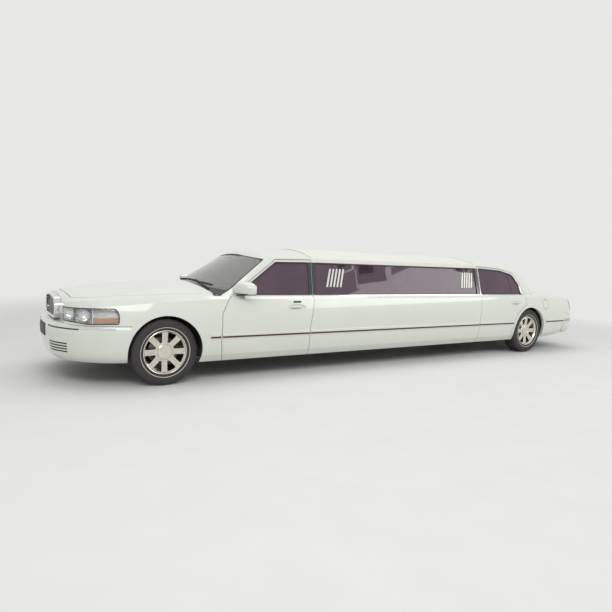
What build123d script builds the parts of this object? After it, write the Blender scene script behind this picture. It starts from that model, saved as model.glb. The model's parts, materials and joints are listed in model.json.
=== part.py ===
from build123d import *
import math
import os

# Stretch limousine. Millimetres, +X forward, +Y to the car's left, +Z up.
# Origin on the ground, midway along the overall length.

# Driving dimensions
base_wheelbase = 2990.0
stretch_length = 3048.0
front_overhang = 1050.0
rear_overhang = 1431.0
wheelbase = base_wheelbase + stretch_length
overall_length = front_overhang + wheelbase + rear_overhang
front_axle_x = overall_length / 2 - front_overhang
rear_axle_x = front_axle_x - wheelbase

half_width = 985.0          # widest point of the body side
widest_z = 560.0
sill_z = 225.0              # bottom edge of doors and panels
sill_inset = 80.0           # how far the bottom edge tucks under the widest point
rub_z = 300.0               # lower character line
rub_inset = 37.0
belt_z = 905.0              # top edge of the door skin
belt_inset = 63.0
shelf_z = 935.0             # shelf where the glass stands
shelf_inset = 105.0
crown_z = 1046.0            # top of the lower body at the windscreen foot
door_wall = 110.0           # whole door, skin to trim
fender_wall = 42.0
hood_wall = 28.0
nose_wall = 60.0
moving_gap = 7.0            # shut lines of doors, hood and boot lid
seam_gap = 0.3              # seats between fixed pieces

# Cabin
glass_foot_y = 893.0
glass_foot_z = 900.0
drip_y = 668.0
drip_z = 1385.0
roof_z = 1497.0
pillar_wall = 40.0
glass_inset = 6.0
glass_thickness = 6.0
screen_foot_x = front_axle_x - 520.0    # windscreen foot on the centre line
screen_foot_z = 1022.0
screen_slope = 30.0
screen_bow_radius = 1300.0              # bow of the windscreen in plan
backlight_foot_x = rear_axle_x - 235.0
backlight_foot_z = 1010.0
backlight_slope = 49.0
backlight_bow_radius = 3500.0
door_top_z = 1368.0
window_low_z = shelf_z + 7.0
window_top_z = 1328.0

# Door shut parts
skin_flange = 12.0          # door skin that overlaps the body at its rear edge
frame_flange = 10.0
flange_reach = 34.0
striker_reach = 22.0
striker_height = 40.0

# Wheels
tyre_radius = 351.0
tyre_width = 228.0
rim_radius = 222.0
rim_flange = 233.0
rim_width = 200.0
wheel_z = tyre_radius
front_track_half = 805.0
rear_track_half = 828.0
arch_radius = 388.0
rear_door_arc = 440.0       # rear door edge round the wheel arch
liner_radius = 424.0
liner_wall = 6.0
kingpin_y = 735.0
kingpin_low_z = 200.0
kingpin_high_z = 500.0
spindle_radius = 30.0
disc_radius = 150.0

# Bumpers
bumper_top_z = 640.0
front_bumper_low_z = 255.0
rear_bumper_low_z = 285.0
bumper_wall = 40.0
front_bumper_reach = 352.0   # open ends, measured from the axles
rear_bumper_reach = 1000.0
front_bumper_end_x = front_axle_x + front_bumper_reach
rear_bumper_end_x = rear_axle_x - rear_bumper_reach

# Frame and floor
rail_inner_y = 430.0
rail_width = 65.0
rail_height = 120.0
rail_mid_z = 265.0
rail_front_z = 330.0
rail_kick_z = 480.0
rail_tail_z = 400.0
floor_z = rail_mid_z + rail_height
floor_wall = 15.0
floor_half_width = 790.0
shaft_z = 340.0
shaft_radius = 38.0
pipe_radius = 27.0

os.makedirs("parts", exist_ok=True)


def finish_piece(part, name):
    """Labels a finished piece and writes its STEP file."""
    part.label = name
    export_step(part, f"parts/{name}.step")


# Working shapes

def side_prism(points, low_y, high_y, inset=0.0, round_cut=None):
    """A prism across the car from an outline of (x, z, corner radius) points."""
    with BuildPart() as block:
        with BuildSketch(Plane.XZ.offset(-high_y)):
            with BuildLine():
                FilletPolyline(*[p[:2] for p in points], radius=[p[2] for p in points], close=True)
            make_face()
            if round_cut:
                with Locations((round_cut[0], round_cut[1])):
                    Circle(round_cut[2], mode=Mode.SUBTRACT)
            if inset:
                offset(amount=-inset, mode=Mode.REPLACE)
        extrude(amount=high_y - low_y)
    return block.part


def plan_prism(points, low_z, high_z, inset=0.0):
    """An upright prism from an outline of (x, y, corner radius) points."""
    with BuildPart() as block:
        with BuildSketch(Plane.XY.offset(low_z)):
            with BuildLine():
                FilletPolyline(*[p[:2] for p in points], radius=[p[2] for p in points], close=True)
            make_face()
            if inset:
                offset(amount=-inset, mode=Mode.REPLACE)
        extrude(amount=high_z - low_z)
    return block.part


def front_prism(points, low_x, high_x, inset=0.0):
    """A prism along the car from an outline of (y, z, corner radius) points."""
    with BuildPart() as block:
        with BuildSketch(Plane.YZ.offset(low_x)):
            with BuildLine():
                FilletPolyline(*[p[:2] for p in points], radius=[p[2] for p in points], close=True)
            make_face()
            if inset:
                offset(amount=-inset, mode=Mode.REPLACE)
        extrude(amount=high_x - low_x)
    return block.part


def slab(low_x, high_x, low_y, high_y, low_z, high_z):
    """A plain block between two corners."""
    with BuildPart() as block:
        with BuildSketch(Plane.XY.offset(low_z)):
            with Locations(((low_x + high_x) / 2, (low_y + high_y) / 2)):
                Rectangle(high_x - low_x, high_y - low_y)
        extrude(amount=high_z - low_z)
    return block.part


def round_bar(x, z, radius, low_y, high_y):
    """A round bar across the car."""
    with BuildPart() as bar:
        with BuildSketch(Plane.XZ.offset(-high_y)):
            with Locations((x, z)):
                Circle(radius)
        extrude(amount=high_y - low_y)
    return bar.part


def cut(body, *tools):
    """The body without the tools."""
    with BuildPart() as result:
        add(body)
        for tool in tools:
            add(tool, mode=Mode.SUBTRACT)
    return result.part


def common(body, *tools):
    """What the body shares with every tool."""
    with BuildPart() as result:
        add(body)
        for tool in tools:
            add(tool, mode=Mode.INTERSECT)
    return result.part


def joined(*pieces):
    """All the pieces together."""
    with BuildPart() as result:
        for piece in pieces:
            add(piece)
    return result.part


def mirrored(piece):
    """The same piece on the other side of the car."""
    with BuildPart() as result:
        mirror(piece, about=Plane.XZ)
    return result.part


def both_sides(piece):
    """The piece and its mirror image, as separate solids."""
    return joined(piece, mirrored(piece))


# Lower body sections. Columns: distance ahead of the axle, taper of the side,
# height of the belt edge, height of the shelf, height of the crown, rise of the bottom edge
front_stations = [
    (920.0, 425.0, 800.0, 846.0, 915.0, 0.0),
    (840.0, 300.0, 806.0, 858.0, 940.0, 0.0),
    (700.0, 175.0, 815.0, 874.0, 964.0, 0.0),
    (480.0, 82.0, 834.0, 896.0, 995.0, 0.0),
    (200.0, 36.0, 860.0, 913.0, 1022.0, 0.0),
    (-150.0, 9.0, 885.0, 926.0, 1040.0, 0.0),
    (-540.0, 0.0, belt_z, shelf_z, crown_z, 0.0),
]
rear_stations = [
    (60.0, 0.0, belt_z, shelf_z, 1036.0, 0.0),
    (-150.0, 0.5, belt_z, shelf_z, 1031.0, 0.0),
    (-400.0, 4.0, 903.0, shelf_z, 1022.0, 0.0),
    (-850.0, 24.0, 888.0, 925.0, 980.0, 30.0),
    (-1180.0, 75.0, 858.0, 896.0, 936.0, 60.0),
    (-1330.0, 140.0, 840.0, 878.0, 908.0, 80.0),
]
straight_front_x = front_axle_x + front_stations[-1][0]
straight_rear_x = rear_axle_x + rear_stations[0][0]
nose_x = front_axle_x + front_stations[0][0]
tail_x = rear_axle_x + rear_stations[-1][0]


def body_section(x, station, side_in=0.0, top_in=0.0, bottom_out=0.0):
    """One full cross-section of the lower body in the plane across the car at x."""
    _, taper, edge_z, ledge_z, top_z, rise = station
    widest = half_width - taper - side_in
    bottom = sill_z + rise - bottom_out
    ledge_y = widest - shelf_inset
    with BuildSketch(Plane.YZ.offset(x)) as section:
        with BuildLine():
            for side in (1, -1):
                sill = (side * (widest - sill_inset), bottom)
                low = (side * (widest - rub_inset), rub_z + rise)
                edge = (side * (widest - belt_inset), edge_z - top_in)
                Line((0, bottom), sill)
                Line(sill, low)
                ThreePointArc(low, (side * widest, widest_z), edge)
                Line(edge, (side * ledge_y, ledge_z - top_in))
            ThreePointArc((ledge_y, ledge_z - top_in), (0, top_z - top_in), (-ledge_y, ledge_z - top_in))
        make_face()
    return section.sketch


def body_volume(stations, axle_x, side_in=0.0, top_in=0.0, bottom_out=0.0, end_in=0.0):
    """One end of the lower body, lofted through its sections and closed at the far end."""
    places = [axle_x + station[0] for station in stations]
    if axle_x > 0:
        places[0] -= end_in
    else:
        places[-1] += end_in
    sections = [
        body_section(x, station, side_in, top_in, bottom_out) for x, station in zip(places, stations)
    ]
    with BuildPart() as volume:
        loft(sections=sections)
    return volume.part


def body_shell(stations, axle_x):
    """One end of the lower body as a wall, open below."""
    outer = body_volume(stations, axle_x)
    inner = body_volume(stations, axle_x, fender_wall, hood_wall, 60.0, nose_wall)
    return cut(outer, inner)


def side_wall(low_x, high_x, skin_in=0.0, solid=False):
    """The straight side of the car on the left, from skin to trim, or solid to the inside."""
    widest = half_width - skin_in
    inner_y = 500.0 if solid else half_width - door_wall
    with BuildPart() as wall:
        with BuildSketch(Plane.YZ.offset(low_x)):
            with BuildLine():
                Line((widest - sill_inset, sill_z), (widest - rub_inset, rub_z))
                ThreePointArc(
                    (widest - rub_inset, rub_z), (widest, widest_z), (widest - belt_inset, belt_z)
                )
                Line((widest - belt_inset, belt_z), (widest - shelf_inset, shelf_z))
                Line((widest - shelf_inset, shelf_z), (inner_y - 60, shelf_z))
                if solid:
                    Line((inner_y - 60, shelf_z), (inner_y - 60, sill_z))
                else:
                    ThreePointArc((inner_y - 60, shelf_z), (inner_y, widest_z), (inner_y - 80, sill_z))
                Line((inner_y - (60 if solid else 80), sill_z), (widest - sill_inset, sill_z))
            make_face()
        extrude(amount=high_x - low_x)
    return wall.part


# Cabin sections. Columns: place along the car, height of the drip edge, height of the roof crown
cabin_stations = [
    (front_axle_x - 300.0, 1300.0, 1380.0),
    (front_axle_x - 1330.0, 1372.0, 1447.0),
    (front_axle_x - 2200.0, drip_z, roof_z - 2),
    (front_axle_x - 2700.0, drip_z, roof_z),
    (rear_axle_x + 1838.0, drip_z, roof_z),
    (rear_axle_x + 1338.0, drip_z, roof_z - 2),
    (rear_axle_x + 538.0, 1358.0, 1466.0),
    (rear_axle_x - 400.0, 1225.0, 1330.0),
]
cabin_slope = (glass_foot_y - drip_y) / (drip_z - glass_foot_z)


def cabin_section(x, drip, crown, inset):
    """One closed cross-section of the cabin."""
    foot_y = glass_foot_y - inset * math.hypot(1, cabin_slope)
    top_z = drip - inset
    top_y = foot_y - (top_z - glass_foot_z) * cabin_slope
    with BuildSketch(Plane.YZ.offset(x)) as section:
        with BuildLine():
            Line((-foot_y, glass_foot_z), (foot_y, glass_foot_z))
            Line((foot_y, glass_foot_z), (top_y, top_z))
            ThreePointArc((top_y, top_z), (0, crown - inset), (-top_y, top_z))
            Line((-top_y, top_z), (-foot_y, glass_foot_z))
        make_face()
    return section.sketch


def slanted_block(foot_x, foot_z, slope, bow_radius, inset, away):
    """Everything behind a slanted window that bows in plan; away is the direction it leans."""
    rise = 720.0
    reach = 1000.0
    base_x = foot_x - away * (foot_z - glass_foot_z) / math.tan(math.radians(slope))
    base_x += away * inset / math.sin(math.radians(slope))
    bow = bow_radius - math.sqrt(bow_radius**2 - reach**2)
    far_x = base_x + away * 7000.0
    lean = Vector(away * math.cos(math.radians(slope)), 0, math.sin(math.radians(slope)))
    with BuildPart() as block:
        with BuildSketch(Plane.XY.offset(glass_foot_z)):
            with BuildLine():
                ThreePointArc((base_x + away * bow, reach), (base_x, 0), (base_x + away * bow, -reach))
                Line((base_x + away * bow, -reach), (far_x, -reach))
                Line((far_x, -reach), (far_x, reach))
                Line((far_x, reach), (base_x + away * bow, reach))
            make_face()
        extrude(amount=rise / math.sin(math.radians(slope)), dir=lean)
    return block.part


def cabin_volume(inset):
    """The closed cabin: its lofted tube, cut by the windscreen and the rear window."""
    sections = [cabin_section(x, drip, crown, inset) for x, drip, crown in cabin_stations]
    with BuildPart() as tube:
        loft(sections=sections)
    front = slanted_block(screen_foot_x, screen_foot_z, screen_slope, screen_bow_radius, inset, -1)
    back = slanted_block(backlight_foot_x, backlight_foot_z, backlight_slope, backlight_bow_radius, inset, 1)
    return common(tube.part, front, back)


cabin_outer = cabin_volume(0.0)
cabin_inner = cabin_volume(pillar_wall)
above_shelf = slab(-overall_length / 2, overall_length / 2, -half_width, half_width, shelf_z, roof_z + 10)
cabin_shell = common(cut(cabin_outer, cabin_inner), above_shelf)
glass_ring = cut(cabin_volume(glass_inset), cabin_volume(glass_inset + glass_thickness))

# Door outlines seen from the side
front_door_outline = [
    (front_axle_x - 634, 180, 0),
    (front_axle_x - 592, 440, 150),
    (front_axle_x - 600, 750, 120),
    (front_axle_x - 690, belt_z, 60),
    (front_axle_x - 1385, door_top_z - 10, 30),
    (front_axle_x - 1900, door_top_z, 8),
    (front_axle_x - 1822, belt_z, 400),
    (front_axle_x - 1742, widest_z, 300),
    (front_axle_x - 1762, 180, 0),
]
front_door_window = [
    (front_axle_x - 803, window_low_z, 20),
    (front_axle_x - 1383, window_top_z - 8, 40),
    (front_axle_x - 1846, window_top_z, 15),
    (front_axle_x - 1780, window_low_z, 15),
]
rear_door_outline = [
    (rear_axle_x + 1241, 180, 0),
    (rear_axle_x + 1248, widest_z, 300),
    (rear_axle_x + 1177, belt_z, 400),
    (rear_axle_x + 1075, door_top_z, 8),
    (rear_axle_x + 538, door_top_z - 24, 300),
    (rear_axle_x + 225, 1286, 140),
    (rear_axle_x + 115, 1120, 140),
    (rear_axle_x + 94, 990, 100),
    (rear_axle_x + 94, 180, 0),
]
rear_door_window = [
    (rear_axle_x + 1128, window_low_z, 15),
    (rear_axle_x + 1042, window_top_z, 15),
    (rear_axle_x + 538, window_top_z - 22, 300),
    (rear_axle_x + 260, 1246, 120),
    (rear_axle_x + 168, 1090, 120),
    (rear_axle_x + 158, window_low_z, 20),
]
stretch_window = [
    (front_axle_x - 1868, window_low_z, 15),
    (front_axle_x - 1946, window_top_z, 15),
    (rear_axle_x + 1121, window_top_z, 15),
    (rear_axle_x + 1222, window_low_z, 15),
]
rear_door_round = (rear_axle_x, wheel_z, rear_door_arc)

# Left side as one wall, later split into doors and panels
left_wall = side_wall(straight_rear_x, straight_front_x)
left_cabin = common(cabin_shell, slab(rear_axle_x, front_axle_x, 300, 1000, shelf_z, roof_z))


def make_door(outline, window, hidden_front, round_cut=None):
    """A whole left door: wall, window frame and the stepped rear edge."""
    blank_tool = side_prism(outline, 400, 1100, moving_gap, round_cut)
    shifted = [(x + flange_reach, z, r) for x, z, r in outline]
    shifted_cut = None
    if round_cut:
        shifted_cut = (round_cut[0] + flange_reach, round_cut[1], round_cut[2])
    deep_tool = side_prism(shifted, 400, 1100, moving_gap, shifted_cut)
    low_x = min(p[0] for p in outline) - 50
    high_x = max(p[0] for p in outline) + 50
    lower = common(left_wall, blank_tool)
    upper = common(left_cabin, blank_tool)
    behind_skin = cut(side_wall(low_x, high_x, skin_flange, True), deep_tool)
    behind_frame = cut(common(hidden_front, slab(low_x, high_x, 300, 1000, shelf_z, roof_z)), deep_tool)
    return cut(joined(lower, upper), behind_skin, behind_frame, side_prism(window, 400, 1100))


frame_core = cabin_volume(frame_flange)
door_front_left = make_door(front_door_outline, front_door_window, frame_core)
door_rear_left = make_door(rear_door_outline, rear_door_window, frame_core, rear_door_round)
glass_front_left = common(glass_ring, side_prism(front_door_window, 400, 1100, seam_gap))
glass_rear_left = common(glass_ring, side_prism(rear_door_window, 400, 1100, seam_gap))
finish_piece(door_front_left, "door_front_left")
finish_piece(mirrored(door_front_left), "door_front_right")
finish_piece(door_rear_left, "door_rear_left")
finish_piece(mirrored(door_rear_left), "door_rear_right")
finish_piece(glass_front_left, "door_glass_front_left")
finish_piece(mirrored(glass_front_left), "door_glass_front_right")
finish_piece(glass_rear_left, "door_glass_rear_left")
finish_piece(mirrored(glass_rear_left), "door_glass_rear_right")

# Fixed shell, left side and right side
front_opening = side_prism(front_door_outline, -1100, 1100)
rear_opening = side_prism(rear_door_outline, -1100, 1100, 0.0, rear_door_round)
fixed_walls = cut(left_wall, front_opening, rear_opening).solids().sort_by(Axis.X)
rear_strip, stretch_panel_left, front_strip = fixed_walls
front_shell = cut(body_shell(front_stations, front_axle_x), cabin_outer)
rear_shell = cut(body_shell(rear_stations, rear_axle_x), cabin_outer)
front_arch = round_bar(front_axle_x, wheel_z, arch_radius, -1100, 1100)
rear_arch = round_bar(rear_axle_x, wheel_z, arch_radius, -1100, 1100)


def skin_y(z):
    """Half width of the straight side at a height between the lower line and the belt."""
    low_y, low_z = half_width - rub_inset, rub_z
    top_y, top_z = half_width - belt_inset, belt_z
    with BuildLine() as side:
        ThreePointArc((low_y, low_z), (half_width, widest_z), (top_y, top_z))
    centre = side.edges()[0].arc_center
    return centre.X + math.sqrt(side.edges()[0].radius ** 2 - (z - centre.Y) ** 2)


def striker(edge_x, low_z):
    """Latch plate on the body, just behind the skin flange of a closed door."""
    outer_y = skin_y(low_z + striker_height) - skin_flange - seam_gap
    return slab(edge_x - 26, edge_x + striker_reach, outer_y - 24, outer_y, low_z, low_z + striker_height)


# Hood, seen from above. Columns: place, distance from the middle, corner radius
hood_side = [
    (front_axle_x - 570.0, 803.0, 30),
    (front_axle_x - 400.0, 800.0, 500),
    (front_axle_x + 300.0, 742.0, 800),
    (front_axle_x + 700.0, 620.0, 300),
    (front_axle_x + 850.0, 460.0, 90),
]
hood_outline = hood_side + [(front_axle_x + 884.0, 0.0, 2000)]
hood_outline += [(x, -y, r) for x, y, r in reversed(hood_side)]
hood_outline.append((front_axle_x - 456.0, 0.0, 2500))


def lowered_front(drop):
    """The front volume with its top lowered, carried back past the hood's rear corners."""
    narrower = drop / 4
    back_section = body_section(straight_front_x, front_stations[-1], narrower, drop, drop)
    with BuildPart() as volume:
        add(body_volume(front_stations, front_axle_x, narrower, drop, drop, -narrower))
        extrude(back_section, amount=180, dir=(-1, 0, 0))
    return volume.part


front_outer = lowered_front(0.0)
hood_skin = cut(front_outer, lowered_front(hood_wall))
hood = common(hood_skin, plan_prism(hood_outline, 700, 1200, moving_gap))
hood_cut = cut(plan_prism(hood_outline, 700, 1200), lowered_front(hood_wall + moving_gap))
finish_piece(hood, "hood")

# Headlamps, nose panel and fenders
lamp_inner_y = 455.0
lamp_outline = [
    (front_axle_x + 472, 655, 25),
    (front_axle_x + 735, 646, 60),
    (front_axle_x + 990, 676, 0),
    (front_axle_x + 990, 798, 0),
    (front_axle_x + 486, 812, 40),
    (front_axle_x + 462, 752, 60),
]
lamp_depth = 90.0
lamp_core = body_volume(front_stations, front_axle_x, lamp_depth, lamp_depth, 60.0, lamp_depth)
lamp_left = common(
    cut(body_volume(front_stations, front_axle_x), lamp_core),
    side_prism(lamp_outline, lamp_inner_y + seam_gap, 1100, seam_gap),
)
lamp_left = cut(lamp_left, hood_cut)
finish_piece(both_sides(lamp_left), "headlamps")

shield_half = [(255, 650, 40), (318, 705, 80), (330, 800, 60), (268, 878, 50)]
shield = shield_half + [(0, 906, 1500)] + [(-y, z, r) for y, z, r in reversed(shield_half)]
shield_rim = 26.0
bumper_clear = slab(front_bumper_end_x, nose_x + 200, -1100, 1100, 0, bumper_top_z + seam_gap)
nose_side = slab(front_axle_x + 640, nose_x + 10, -lamp_inner_y, lamp_inner_y, 0, 1200)
front_fixed = cut(front_shell, hood_cut, bumper_clear, front_arch)
nose_panel = cut(common(front_fixed, nose_side), front_prism(shield, nose_x - 200, nose_x + 10, shield_rim))


def stop_pin(x, y, low_z, high_z):
    """A rubber buffer that a closed lid rests on."""
    with BuildPart() as pin:
        with BuildSketch(Plane.XY.offset(low_z)):
            with Locations((x, y)):
                Circle(9)
        extrude(amount=high_z - low_z)
    return pin.part


hood_underside = lowered_front(hood_wall + seam_gap)
hood_stops = joined(*[stop_pin(nose_x - 54, side * 120, 780, 1000) for side in (1, -1)])
nose_panel = joined(nose_panel, common(hood_stops, hood_underside))
finish_piece(nose_panel, "nose_panel")

left_lamp_cut = side_prism(lamp_outline, lamp_inner_y, 1100)
fender_shell = common(front_fixed, slab(straight_front_x, nose_x + 10, lamp_inner_y, 1100, 0, 1200))
fender_left = cut(joined(fender_shell, cut(front_strip, front_arch)), left_lamp_cut)
fender_left = cut(fender_left, slab(front_axle_x + 640, nose_x + 10, 0, lamp_inner_y + seam_gap, 0, 1200))
fender_left = fender_left.solids().sort_by(SortBy.VOLUME)[-1]
finish_piece(both_sides(fender_left), "front_fenders")

# Grille: a shield frame with upright bars
grille_depth = 62.0
grille_bars = 19
grille_pitch = 30.0
grille_x = nose_x + seam_gap
with BuildPart() as grille:
    add(cut(front_prism(shield, grille_x, grille_x + grille_depth),
            front_prism(shield, grille_x - 5, grille_x + grille_depth + 5, shield_rim)))
    chamfer(grille.faces().sort_by(Axis.X)[-1].edges(), 7)
bars = [
    slab(grille_x, grille_x + 40, y - 4, y + 4, 600, 950)
    for y in [grille_pitch * (n - (grille_bars - 1) / 2) for n in range(grille_bars)]
]
bar_set = common(joined(*bars), front_prism(shield, grille_x, grille_x + 40, shield_rim / 2))
finish_piece(joined(grille.part, bar_set), "grille")

# Cowl: the firewall and the plenum top behind the hood
firewall_wall = 8.0
cowl_drop = 38.0
cowl_half = 812.0
firewall_front_x = front_axle_x - 437.0
firewall = common(
    slab(firewall_front_x - firewall_wall, firewall_front_x, -930, 930, floor_z, crown_z),
    lowered_front(cowl_drop),
)
plenum = common(
    cut(lowered_front(cowl_drop), lowered_front(cowl_drop + firewall_wall)),
    slab(straight_front_x - 180, firewall_front_x, -cowl_half, cowl_half, 800, 1100),
)
cowl = cut(joined(firewall, plenum), cabin_outer, front_shell, front_strip, mirrored(front_strip))
beside_cowl = slab(straight_front_x - 600, straight_front_x + 600, cowl_half, 1100, shelf_z - 60, 1200)
cowl = cut(cowl, both_sides(beside_cowl))
cowl = cowl.solids().sort_by(SortBy.VOLUME)[-1]

# Roof with its pillars
screen_half = [(819, 958, 40), (640, 1354, 45)]
screen_outline = screen_half + [(0, 1404, 2500)] + [(-y, z, r) for y, z, r in reversed(screen_half)]
screen_outline.append((0, 1014, 4000))
backlight_outline = [(600, 1022, 60), (505, 1340, 70), (-505, 1340, 70), (-600, 1022, 60)]
screen_places = (front_axle_x - 1290, front_axle_x - 250)
backlight_places = (rear_axle_x - 420, rear_axle_x + 150)
roof_shell = cut(
    cabin_shell,
    front_opening,
    rear_opening,
    side_prism(stretch_window, -1100, 1100),
    front_prism(screen_outline, *screen_places),
    front_prism(backlight_outline, *backlight_places),
)
finish_piece(roof_shell, "roof_shell")
finish_piece(common(glass_ring, front_prism(screen_outline, *screen_places, seam_gap)), "windscreen")
finish_piece(common(glass_ring, front_prism(backlight_outline, *backlight_places, seam_gap)), "rear_window")
stretch_glass_left = common(glass_ring, side_prism(stretch_window, 400, 1100, seam_gap))
finish_piece(both_sides(stretch_glass_left), "stretch_windows")

front_striker = striker(front_axle_x - 1748, widest_z)
stretch_panel = joined(stretch_panel_left, front_striker)
finish_piece(both_sides(stretch_panel), "stretch_panels")

# Boot lid, quarter panels, tail panel and tail lamps
lid_half = 660.0
lid_front_x = rear_axle_x - 330.0
lid_outline = [
    (lid_front_x, lid_half, 60), (tail_x - 100, lid_half, 0),
    (tail_x - 100, -lid_half, 0), (lid_front_x, -lid_half, 60),
]
lid_low_z = bumper_top_z + 12.0
boot_lid = common(rear_shell, plan_prism(lid_outline, lid_low_z + moving_gap, 1100, moving_gap))
finish_piece(boot_lid, "boot_lid")

tail_lamp_outline = [
    (rear_axle_x - 1172, 842, 20), (tail_x - 60, 834, 0),
    (tail_x - 60, 668, 0), (rear_axle_x - 1215, 672, 20),
]
rear_outer = body_volume(rear_stations, rear_axle_x)
tail_core = body_volume(rear_stations, rear_axle_x, lamp_depth, lamp_depth, 60.0, lamp_depth)
tail_lamp_inner_y = lid_half + 12.0
tail_lamp_left = common(
    cut(rear_outer, tail_core),
    side_prism(tail_lamp_outline, tail_lamp_inner_y + seam_gap, 1100, seam_gap),
)
finish_piece(both_sides(tail_lamp_left), "tail_lamps")

lid_cut = plan_prism(lid_outline, lid_low_z, 1100)
rear_bumper_clear = slab(tail_x - 200, rear_bumper_end_x, -1100, 1100, 0, bumper_top_z + seam_gap)
rear_fixed = cut(rear_shell, lid_cut, rear_bumper_clear, rear_arch)
tail_lamp_cuts = both_sides(side_prism(tail_lamp_outline, tail_lamp_inner_y, 1100))

# Fuel door in the left quarter
fuel_x = rear_axle_x - 410.0
fuel_z = 785.0
fuel_radius = 75.0
fuel_lid_wall = 12.0
fuel_pocket = 24.0
fuel_recess = cut(
    round_bar(fuel_x, fuel_z, fuel_radius + moving_gap, 850, 1100),
    body_volume(rear_stations, rear_axle_x, fuel_pocket),
)
under_fuel_lid = body_volume(rear_stations, rear_axle_x, fuel_lid_wall + seam_gap)
fuel_stop = cut(
    common(round_bar(fuel_x - 40, fuel_z, 8, 850, 1100), under_fuel_lid),
    body_volume(rear_stations, rear_axle_x, fuel_pocket + 1),
)
fuel_door = cut(
    common(rear_outer, round_bar(fuel_x, fuel_z, fuel_radius, 850, 1100)),
    body_volume(rear_stations, rear_axle_x, fuel_lid_wall),
)
finish_piece(fuel_door, "fuel_door")

quarter = cut(rear_fixed, tail_lamp_cuts, fuel_recess)
quarter = cut(quarter, slab(tail_x - 10, rear_bumper_end_x + 40, -640, 640, 0, lid_low_z + 1))
strips = both_sides(cut(rear_strip, rear_arch))
rear_striker = both_sides(striker(rear_axle_x + 94, 800))
quarter = joined(quarter, strips, rear_striker, fuel_stop)
finish_piece(quarter, "quarter_panels")

tail_panel = common(
    cut(rear_shell, rear_bumper_clear),
    slab(tail_x - 10, rear_bumper_end_x + 40 - seam_gap, -640 + seam_gap, 640 - seam_gap, 0, lid_low_z),
)

# Bumpers, lofted from plan outlines. Columns: height, how far the outline is set in
bumper_upper_levels = [(470.0, 0.0), (600.0, 4.0), (bumper_top_z, 26.0)]
front_bumper_levels = [(front_bumper_low_z, 75.0), (330.0, 22.0)] + bumper_upper_levels
rear_bumper_levels = [(rear_bumper_low_z, 60.0), (350.0, 16.0)] + bumper_upper_levels
# Plan points: rear end, side, corner and middle, as distance from the axle and from the centre line
front_bumper_plan = [(front_bumper_reach, 931.0), (800.0, 722.0), (1018.0, 400.0), (front_overhang, 0.0)]
rear_bumper_plan = [(-rear_bumper_reach, 942.0), (-1295.0, 860.0), (-1396.0, 640.0), (-rear_overhang, 0.0)]


def bumper_volume(plan, levels, axle_x, wall=0.0):
    """A bumper filled in to its open end, or the hollow inside its wall."""
    away = 1 if plan[-1][0] > 0 else -1
    sections = []
    for number, (z, level_in) in enumerate(levels):
        set_in = level_in + wall
        height = z
        if wall:
            height = z - 20 if number in (0, len(levels) - 1) else z
        end, side, corner, middle = plan
        end_point = (axle_x + end[0] - (away * 5 if wall else 0), end[1] - set_in)
        side_point = (axle_x + side[0] - away * 0.7 * set_in, side[1] - 0.7 * set_in)
        corner_point = (axle_x + corner[0] - away * set_in, corner[1] - 0.3 * set_in)
        middle_point = (axle_x + middle[0] - away * set_in, 0)
        far_end, far_side, far_corner = [(x, -y) for x, y in (end_point, side_point, corner_point)]
        with BuildSketch(Plane.XY.offset(height)) as section:
            with BuildLine():
                ThreePointArc(end_point, side_point, corner_point)
                ThreePointArc(corner_point, middle_point, far_corner)
                ThreePointArc(far_corner, far_side, far_end)
                Line(far_end, end_point)
            make_face()
        sections.append(section.sketch)
    with BuildPart() as volume:
        loft(sections=sections)
    return volume.part


def bumper_shell(plan, levels, axle_x):
    """A bumper as a wall, open below and towards the wheels."""
    return cut(bumper_volume(plan, levels, axle_x), bumper_volume(plan, levels, axle_x, bumper_wall))


bay_side = [(front_bumper_end_x - 15, 810, 0), (front_axle_x + 765, 640, 60), (front_axle_x + 900, 400, 60)]
engine_bay = plan_prism(bay_side + [(x, -y, r) for x, y, r in reversed(bay_side)], 560, 700)
boot_bay = slab(tail_x + nose_wall, rear_bumper_end_x + 20, -830, 830, 560, 700)
front_bumper = bumper_shell(front_bumper_plan, front_bumper_levels, front_axle_x)
front_bumper = cut(front_bumper, front_arch, engine_bay)
rear_bumper = cut(bumper_shell(rear_bumper_plan, rear_bumper_levels, rear_axle_x), boot_bay)

# Ladder frame. Columns: place and height of the underside of each rail
rail_line = [
    (front_axle_x + 880, rail_front_z), (front_axle_x - 330, rail_front_z), (front_axle_x - 560, rail_mid_z),
    (rear_axle_x + 700, rail_mid_z), (rear_axle_x + 420, rail_kick_z), (rear_axle_x - 420, rail_kick_z),
    (rear_axle_x - 620, rail_tail_z), (rear_axle_x - 1300, rail_tail_z),
]
rail_outline = [(x, z, 0) for x, z in rail_line] + [(x, z + rail_height, 0) for x, z in reversed(rail_line)]
rail_outer_y = rail_inner_y + rail_width
rail = side_prism(rail_outline, rail_inner_y, rail_outer_y)
# Cross members. Columns: place, underside, height, length along the car
cross_members = [
    (front_axle_x + 820, rail_front_z + 20, 80, 60),
    (front_axle_x, rail_front_z - 20, 110, 150),
    (front_axle_x - 1500, rail_mid_z, 31, 80),
    (front_axle_x - 2400, rail_mid_z, 31, 80),
    (front_axle_x - 3300, rail_mid_z, 31, 80),
    (front_axle_x - 4200, rail_mid_z, 31, 80),
    (front_axle_x - 5100, rail_mid_z, 31, 80),
    (rear_axle_x - 300, rail_kick_z + 30, 70, 70),
    (rear_axle_x - 1250, rail_tail_z + 20, 80, 60),
]
members = [
    slab(x - length / 2, x + length / 2, -rail_inner_y, rail_inner_y, z, z + height)
    for x, z, height, length in cross_members
]
bumper_arm = slab(front_axle_x + 860, front_axle_x + 860 + 200, rail_inner_y + 5, rail_outer_y - 5, 360, 420)
rear_bumper_arm = slab(rear_axle_x - 1420, rear_axle_x - 1290, rail_inner_y + 5, rail_outer_y - 5, 420, 480)
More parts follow.
